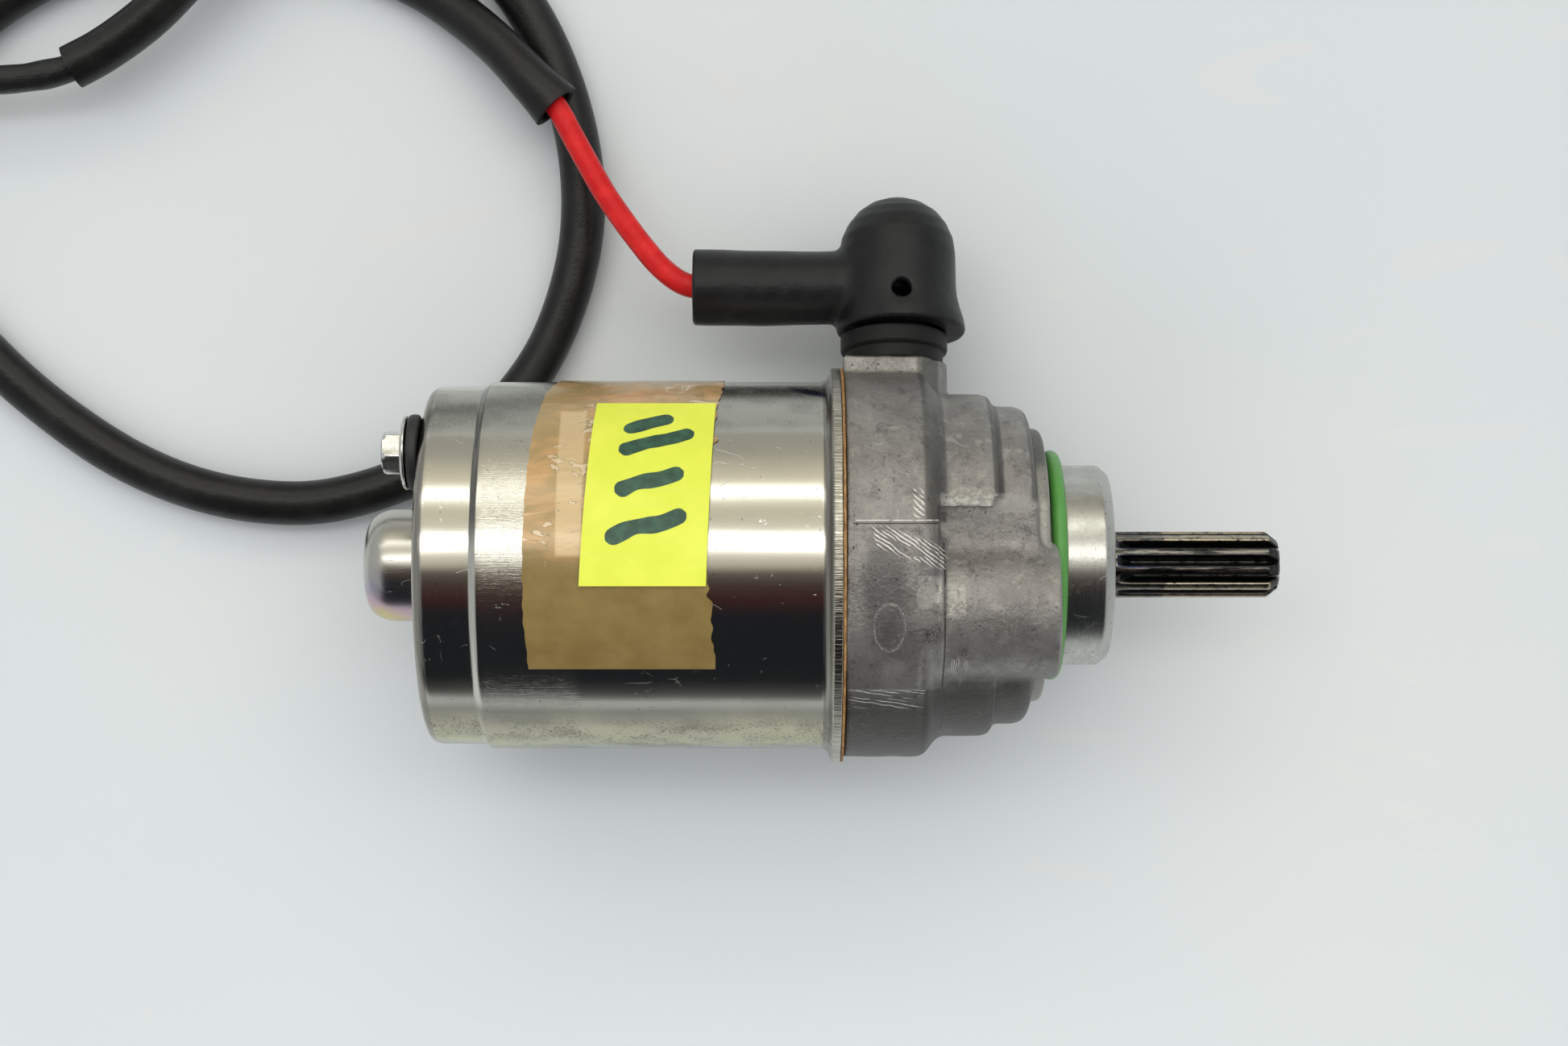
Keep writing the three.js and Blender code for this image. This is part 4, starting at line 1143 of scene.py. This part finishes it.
def bolts():
    plated = bolt_look()
    seal_rubber = rubber_look("seal_rubber", (0.014, 0.014, 0.014), 0.5)
    flats = hex_radius(7, 96, 31.6)
    head = [(x, np.minimum(flats, most)) for x, most in (
        (-158.2, 0), (-158.2, 2.0), (-158.6, 2.6), (-158.6, 3.15), (-158.35, 3.6),
        (-157.8, 4.05), (-155.35, 9.0), (-155.3, 2.4), (-65.2, 2.4), (-65.2, 0))]
    washer = turned([(-155.15, 2.7), (-155.15, 5.7, 0.4), (-154.75, 6.45, 0.4),
                     (-154.3, 6.5, 0.2), (-154.2, 6.0, 0.2), (-154.2, 2.7)], 72, True)
    seal = turned([(-153.95, 2.7), (-153.95, 6.5, 0.3), (-153.2, 6.75, 0.5), (-152.3, 6.6, 0.4),
                   (-152.05, 6.2, 0.2), (-152.05, 2.7)], 72, True)
    for number, turn in ((1, BOLT_ANGLE), (2, -BOLT_ANGLE)):
        at = spun(turn, y=BOLT_AT_R)
        stand_in(f"through_bolt_{number}", moved(lofted(head), at), plated, "plated_steel",
                 crease=30)
        stand_in(f"bolt_washer_{number}", moved(washer, at), plated, "plated_steel")
        stand_in(f"bolt_seal_{number}", moved(seal, at), seal_rubber, "black_rubber")


# ---- terminal ----
def boot_shape():
    """The rubber boot: a dome with a side arm, hollow, with a vent."""
    low, cell = (-39.5, 40.5, -13.0), 0.42
    x, up, z = grid(low, (13.0, 70.5, 13.0), cell)
    across = np.hypot(x, z)
    steps = [math.radians(a) for a in (15, 30, 45, 60, 75, 90)]
    dome = [(58.5 + 10.7 * math.sin(a), 10.7 * math.cos(a)) for a in steps]
    lopsided = np.hypot(x - 0.55 * np.clip((50 - up) / 6, 0, 1), z)
    bell = turned_field([(43.4, 0), (43.4, 11.4, 0.3), (43.6, 11.85, 0.4), (45.4, 11.8, 0.5),
                         (48.5, 11.1, 2), (52, 10.75, 2), (58.5, 10.7), *dome], up, lopsided)
    skew = 52.3 - 0.25 * np.sin((x + 37.8) * math.pi / 30)
    arm_at = np.hypot(up - skew, z)
    arm = turned_field([(-37.8, 0), (-37.8, 7.0, 0.5), (-31, 7.0, 3), (-20, 6.85, 3),
                        (-12, 6.7, 3), (-6, 6.9), (-3, 0)], x, arm_at)
    hollow = turned_field([(38, 0), (38, 8.5), (58.1, 8.5), (61.5, 7.4), (64.6, 4.2), (65.9, 0)],
                          up, across)
    bore = turned_field([(-42, 0), (-42, 3.3), (-5, 3.3), (-5, 0)], x, arm_at)
    vent = np.maximum(np.hypot(x - 0.3, up - 49.0) - 1.75, 2 - z)
    rim = np.abs(np.hypot(x - 0.3, up - 49.0) - 2.1) - 0.35
    body = union(bell, arm, 1.6)
    body = body + 0.06 * np.exp(-(rim / 0.5) ** 2) * (z > 0)
    body = body + 0.05 * np.sin(x * 0.55 + 0.4 * z) * np.sin(up * 0.6)
    for hole in (hollow, bore, vent):
        body = cut(body, hole, 0.35)
    vertices, faces = surface(body, low, cell)
    lean = Matrix.Rotation(math.radians(-STUD_LEAN), 4, "X")
    return moved((vertices, faces), Matrix.Translation((BOOT_X, 0, 0)) @ lean)


def terminal():
    rubber = rubber_look("boot_rubber", (0.006, 0.006, 0.007), 0.4, 0.05, 0.25, 0.32)
    stand_in("terminal_boot", boot_shape(), rubber, "black_rubber", crease=60)
    collar = turned([
        (29.2, 3.2), (29.2, 4.9), (36.75, 4.9), (36.75, 8.9, 0.4), (39.2, 9.0, 0.3),
        (39.45, 9.5, 0.3), (39.8, 9.8, 0.3), (42.7, 9.8, 0.5), (42.8, 7.4, 0.4), (44.4, 6.9, 0.4),
        (44.5, 3.2)], 96, True)
    stand_in("terminal_insulator", moved(collar, on_stud()),
             rubber_look("insulator_plastic", (0.009, 0.0088, 0.0085), 0.5, 0.05, 0.3, 0.2),
             "insulator_plastic")


# ---- tape and note ----
def wrapped(left, right, top, bottom, radius, thick, columns, rows, relief=None):
    """A thin sheet on the case. Angles are from +Y towards +Z; left and right are x by angle."""
    share_a, share_x = np.meshgrid(np.linspace(0, 1, rows), np.linspace(0, 1, columns),
                                   indexing="ij")
    angle = top + (bottom - top) * share_a
    x0, x1 = left(angle), right(angle)
    x = x0 + (x1 - x0) * share_x
    r = radius + (relief(x, angle) if relief else 0 * x)
    a = np.radians(angle)
    outer = np.stack([x, (r + thick) * np.cos(a), (r + thick) * np.sin(a)], -1).reshape(-1, 3)
    inner = np.stack([x, radius * np.cos(a), radius * np.sin(a)], -1).reshape(-1, 3)
    count = rows * columns
    row_ids = [[i * columns + j for j in range(columns)] for i in range(rows)]
    faces = strips(row_ids) + strips([[k + count for k in row] for row in row_ids])
    rim = row_ids[0] + [r[-1] for r in row_ids[1:-1]] + row_ids[-1][::-1] + [
        r[0] for r in row_ids[-2:0:-1]]
    faces += [[a, b, b + count, a + count] for a, b in zip(rim, rim[1:] + rim[:1])]
    return np.concatenate([outer, inner]), faces


def by_angle(*stops):
    """A function that gives x at an angle, straight between the stops."""
    angles, values = zip(*stops)
    return lambda a: np.interp(a, angles, values)


def tape():
    left = by_angle((-10, -127.5), (8, -129.0), (30, -131.0), (48, -132.0), (62, -132.6),
                    (90, -133.0), (105, -132.9), (121, -132.3))
    right = by_angle((-10, -99.5), (20, -99.6), (33, -100.2), (46, -101.0), (49, -99.9),
                     (51, -100.9), (53, -102.2), (60, -101.6), (80, -102.2), (94, -102.0),
                     (96, -101.2), (98, -101.9), (100, -101.0), (112, -101.0), (121, -100.6))

    def ragged(edge, size):
        def at(angle):
            wave = np.vectorize(lambda a: noise.noise(Vector((a * 0.35, size * 9, 0.0))))
            return edge(angle) + size * wave(angle)
        return at

    def relief(x, angle):
        lumps = np.vectorize(lambda u, a: noise.noise(Vector((u * 0.16, a * 0.13, 3.0))))
        folds = np.vectorize(lambda u, a: noise.noise(Vector((u * 0.10 + a * 0.05, a * 0.30, 7.0))))
        lift = np.clip((88 - angle) / 12, 0, 1)
        return lift * (0.10 * np.clip(lumps(x, angle) + 0.1, 0, 1)
                       + 0.20 * np.clip(folds(x, angle) - 0.25, 0, 1))

    sheet = wrapped(ragged(left, 0.25), ragged(right, 0.5), -10, 121.4, 33.12, 0.1, 110, 240,
                    relief)
    stand_in("packing_tape", sheet, tape_look(), "brown_tape", crease=60)


NOTE_R = 33.66
INK_WIDE, INK_HIGH = 21, 38  # the flat area that the strokes' shares are of
INK_LIFT = 0.145
NOTE_TOP, NOTE_BOTTOM = 33.0, 95.2
STROKES = [  # pen strokes on the note: (share across, share down) along each, and half width in mm
    ([(0.66, 0.12), (0.46, 0.16), (0.26, 0.21)], 1.5),
    ([(0.84, 0.22), (0.66, 0.26), (0.46, 0.29), (0.24, 0.34)], 1.45),
    ([(0.78, 0.45), (0.60, 0.49), (0.42, 0.51), (0.24, 0.56)], 1.5),
    ([(0.82, 0.66), (0.62, 0.71), (0.40, 0.73), (0.19, 0.79)], 1.5),
]


def note_sides(angle):
    share = (angle - NOTE_TOP) / (NOTE_BOTTOM - NOTE_TOP)
    return -121.3 - 2.1 * share, -100.6 - 1.35 * share


def note():
    curl = lambda x, angle: 0.10 * np.clip((42 - angle) / 9, 0, 1) ** 2
    sheet = wrapped(lambda a: note_sides(a)[0], lambda a: note_sides(a)[1], NOTE_TOP, NOTE_BOTTOM,
                    NOTE_R, 0.12, 12, 60, curl)
    stand_in("paper_note", sheet, paper_look(), "yellow_paper", crease=30)
    shapes = []
    for route, half in STROKES:
        flat = [(u * INK_WIDE, v * INK_HIGH, 0) for u, v in route]
        line, along = smooth_path(flat, 0.35)
        tangent = np.gradient(line, axis=0)
        tangent /= np.linalg.norm(tangent, axis=1)[:, None]
        side = np.stack([-tangent[:, 1], tangent[:, 0]], 1)
        ends = np.minimum(along, along[-1] - along)
        width = half * np.sqrt(np.clip(1 - np.clip(1 - ends / half, 0, 1) ** 2, 0.01, 1))
        width = width * (1 + ripple(along, 0.22, 3.0, half * 7))
        rows, vertices = [], []
        for k in range(len(line)):
            rows.append([])
            for share in (-1, -0.5, 0, 0.5, 1):
                u, v = line[k, :2] + side[k] * width[k] * share
                angle = NOTE_TOP + (NOTE_BOTTOM - NOTE_TOP) * v / INK_HIGH
                x0, x1 = note_sides(angle)
                x = x0 + (x1 - x0) * u / INK_WIDE
                r = NOTE_R + INK_LIFT + float(curl(x, angle))
                a = math.radians(angle)
                rows[-1].append(len(vertices))
                vertices.append((x, r * math.cos(a), r * math.sin(a)))
        shapes.append((np.array(vertices), strips(rows)))
    piece("pen_strokes", merged(*shapes), ink_look(), "yellow_paper", crease=60)


# ---- inner parts ----
def brush_springs():
    """A spring over each brush, at one fixed length."""
    look = steel("brush_spring_steel", (0.5, 0.5, 0.5), 0.3)
    turns, wire, radius, low, high = 4, 0.35, 2.2, 21.6, 25.4
    share = np.linspace(0, 1, 40 * turns + 1)
    rise = np.interp(share, (0, 0.14, 0.86, 1), (0, 0.04, 0.96, 1))
    angle = TAU * turns * share
    helix = np.column_stack([BRUSH_X + radius * np.cos(angle), low + (high - low) * rise,
                             radius * np.sin(angle)])
    shape = sweep(helix, np.full(len(helix), wire), 12)
    for number in range(4):
        spring = stand_in(f"brush_spring_{number + 1}", moved(shape, spun(90 * number)), look,
                          "spring_steel")
        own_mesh(spring)


def inner_parts():
    ground = steel("bearing_steel", (0.62, 0.63, 0.65), 0.2)
    spring = steel("spring_steel", (0.5, 0.5, 0.5), 0.3)
    brass = steel("holder_brass", (0.72, 0.55, 0.26), 0.3)
    plated = bolt_look()
    every = lambda name: [f"{name}_{i}" for i in range(1, 5)]
    paint(mineral_look("magnet_ferrite", (0.10, 0.10, 0.11), 0.6), *every("magnet"))
    paint(ground, "bearing_outer_ring", "bearing_inner_ring", "bearing_ball_cage",
          "rear_steel_washer")
    paint(spring, "bearing_snap_ring", "shaft_snap_ring")
    paint(mineral_look("sintered_bronze", (0.5, 0.33, 0.16), 0.5, 0.8), "rear_bush")
    paint(mineral_look("fibre", (0.42, 0.28, 0.15), 0.7), "rear_fibre_washer")
    paint(layered_look("lamination_steel", (0.42, 0.42, 0.43), (0.06, 0.05, 0.05), 0.7),
          "armature_core")
    paint(layered_look("copper_winding", (0.62, 0.24, 0.09), (0.10, 0.03, 0.015), 0.9, False,
                       1.0, 0.3), "armature_winding")
    paint(steel("copper", (0.75, 0.38, 0.22), 0.3, 0.5, 0.5), "commutator")
    paint(mineral_look("phenolic", (0.10, 0.055, 0.03), 0.45), "commutator_hub", "brush_plate")
    paint(brass, *every("brush_holder"))
    paint(mineral_look("carbon", (0.035, 0.035, 0.037), 0.5, 0.3), *every("brush"))
    paint(plated, "terminal_stud", "terminal_washer", "terminal_lower_nut", "terminal_upper_nut")
    paint(rubber_look("o_ring_rubber", (0.02, 0.02, 0.02)), "terminal_o_ring")
    paint(mineral_look("lug_copper", (0.62, 0.6, 0.57), 0.3, 1.0), "wire_lug")


yoke_case()
gasket()
nose()
shaft()
bolts()
terminal()
tape()
note()
brush_springs()
inner_parts()


# ---- table and light ----
def make_floor():
    z, far = TABLE_Z * MM - FLOOR_GAP, FLOOR_HALF
    mesh = bpy.data.meshes.new("table")
    corners = [(-far, -far, z), (far, -far, z), (far, far, z), (-far, far, z)]
    mesh.from_pydata(corners, [], [(0, 1, 2, 3)])
    mesh.materials.append(floor_look())
    table = bpy.data.objects.new("table", mesh)
    scene.collection.objects.link(table)


SKY = [  # angle from straight up, positive towards +Y, and radiance
    (-180, (0.36, 0.37, 0.37)), (-96, (0.30, 0.31, 0.30)), (-86, (0.07, 0.07, 0.07)),
    (-76, (0.015, 0.017, 0.020)), (-30, (0.015, 0.017, 0.021)), (-20, (0.055, 0.020, 0.019)),
    (-12, (0.068, 0.043, 0.037)), (-3.5, (0.115, 0.10, 0.09)), (0.5, (0.60, 0.56, 0.47)),
    (8, (0.92, 0.88, 0.76)), (12.3, (3.6, 3.6, 3.5)), (18.6, (3.6, 3.6, 3.5)),
    (22.5, (0.86, 0.82, 0.71)), (35, (0.74, 0.70, 0.55)), (42, (1.1, 1.04, 0.86)),
    (44.5, (2.9, 2.9, 2.75)), (48.5, (2.9, 2.9, 2.75)), (52.5, (0.92, 0.86, 0.67)),
    (75, (0.47, 0.455, 0.40)), (100, (0.38, 0.39, 0.365)), (180, (0.36, 0.37, 0.37)),
]
SIDE_SKY = (0.50, 0.52, 0.53)  # towards the ends of the motor


def make_sky():
    scene.world = bpy.data.worlds.new("sky")
    scene.world.use_nodes = True
    sky = Graph(scene.world.node_tree)
    x, y, z = sky.split(sky.out("TexCoord", {}, "Generated"))
    turn = sky.math("MULTIPLY_ADD", sky.math("ARCTAN2", y, z), 1 / TAU, 0.5)
    around = sky.ramp(turn, [(degrees / 360 + 0.5, color) for degrees, color in SKY])
    color = sky.mix(sky.step(sky.math("ABSOLUTE", x), 0.42, 0.68), around, SIDE_SKY)
    light = sky.out("Background", {"Color": color, "Strength": 1.0})
    sky.new("OutputWorld", {"Surface": light})


def make_light(name, place, target, size, power, color=(1, 1, 1)):
    data = bpy.data.lights.new(name, "AREA")
    data.shape = "RECTANGLE"
    data.size, data.size_y = size
    data.energy = power
    data.color = color
    light = bpy.data.objects.new(name, data)
    light.location = place
    light.rotation_mode = "QUATERNION"
    light.rotation_quaternion = (Vector(target) - Vector(place)).to_track_quat("-Z", "Y")
    scene.collection.objects.link(light)
    light.visible_glossy = False


make_floor()
make_sky()
make_light("window", (-0.5, 1.1, 1.3), (-0.1, 0.0, 0.0), (1.4, 1.0), 2.5, (1.0, 0.99, 0.96))
make_light("ceiling", (-0.15, -0.08, 1.6), (-0.15, -0.04, 0.0), (2.8, 2.6), 24, (0.94, 0.97, 1.0))
make_light("reflector", (-0.09, -0.32, 0.22), (-0.09, -0.06, -0.035), (0.4, 0.15), 0.36)
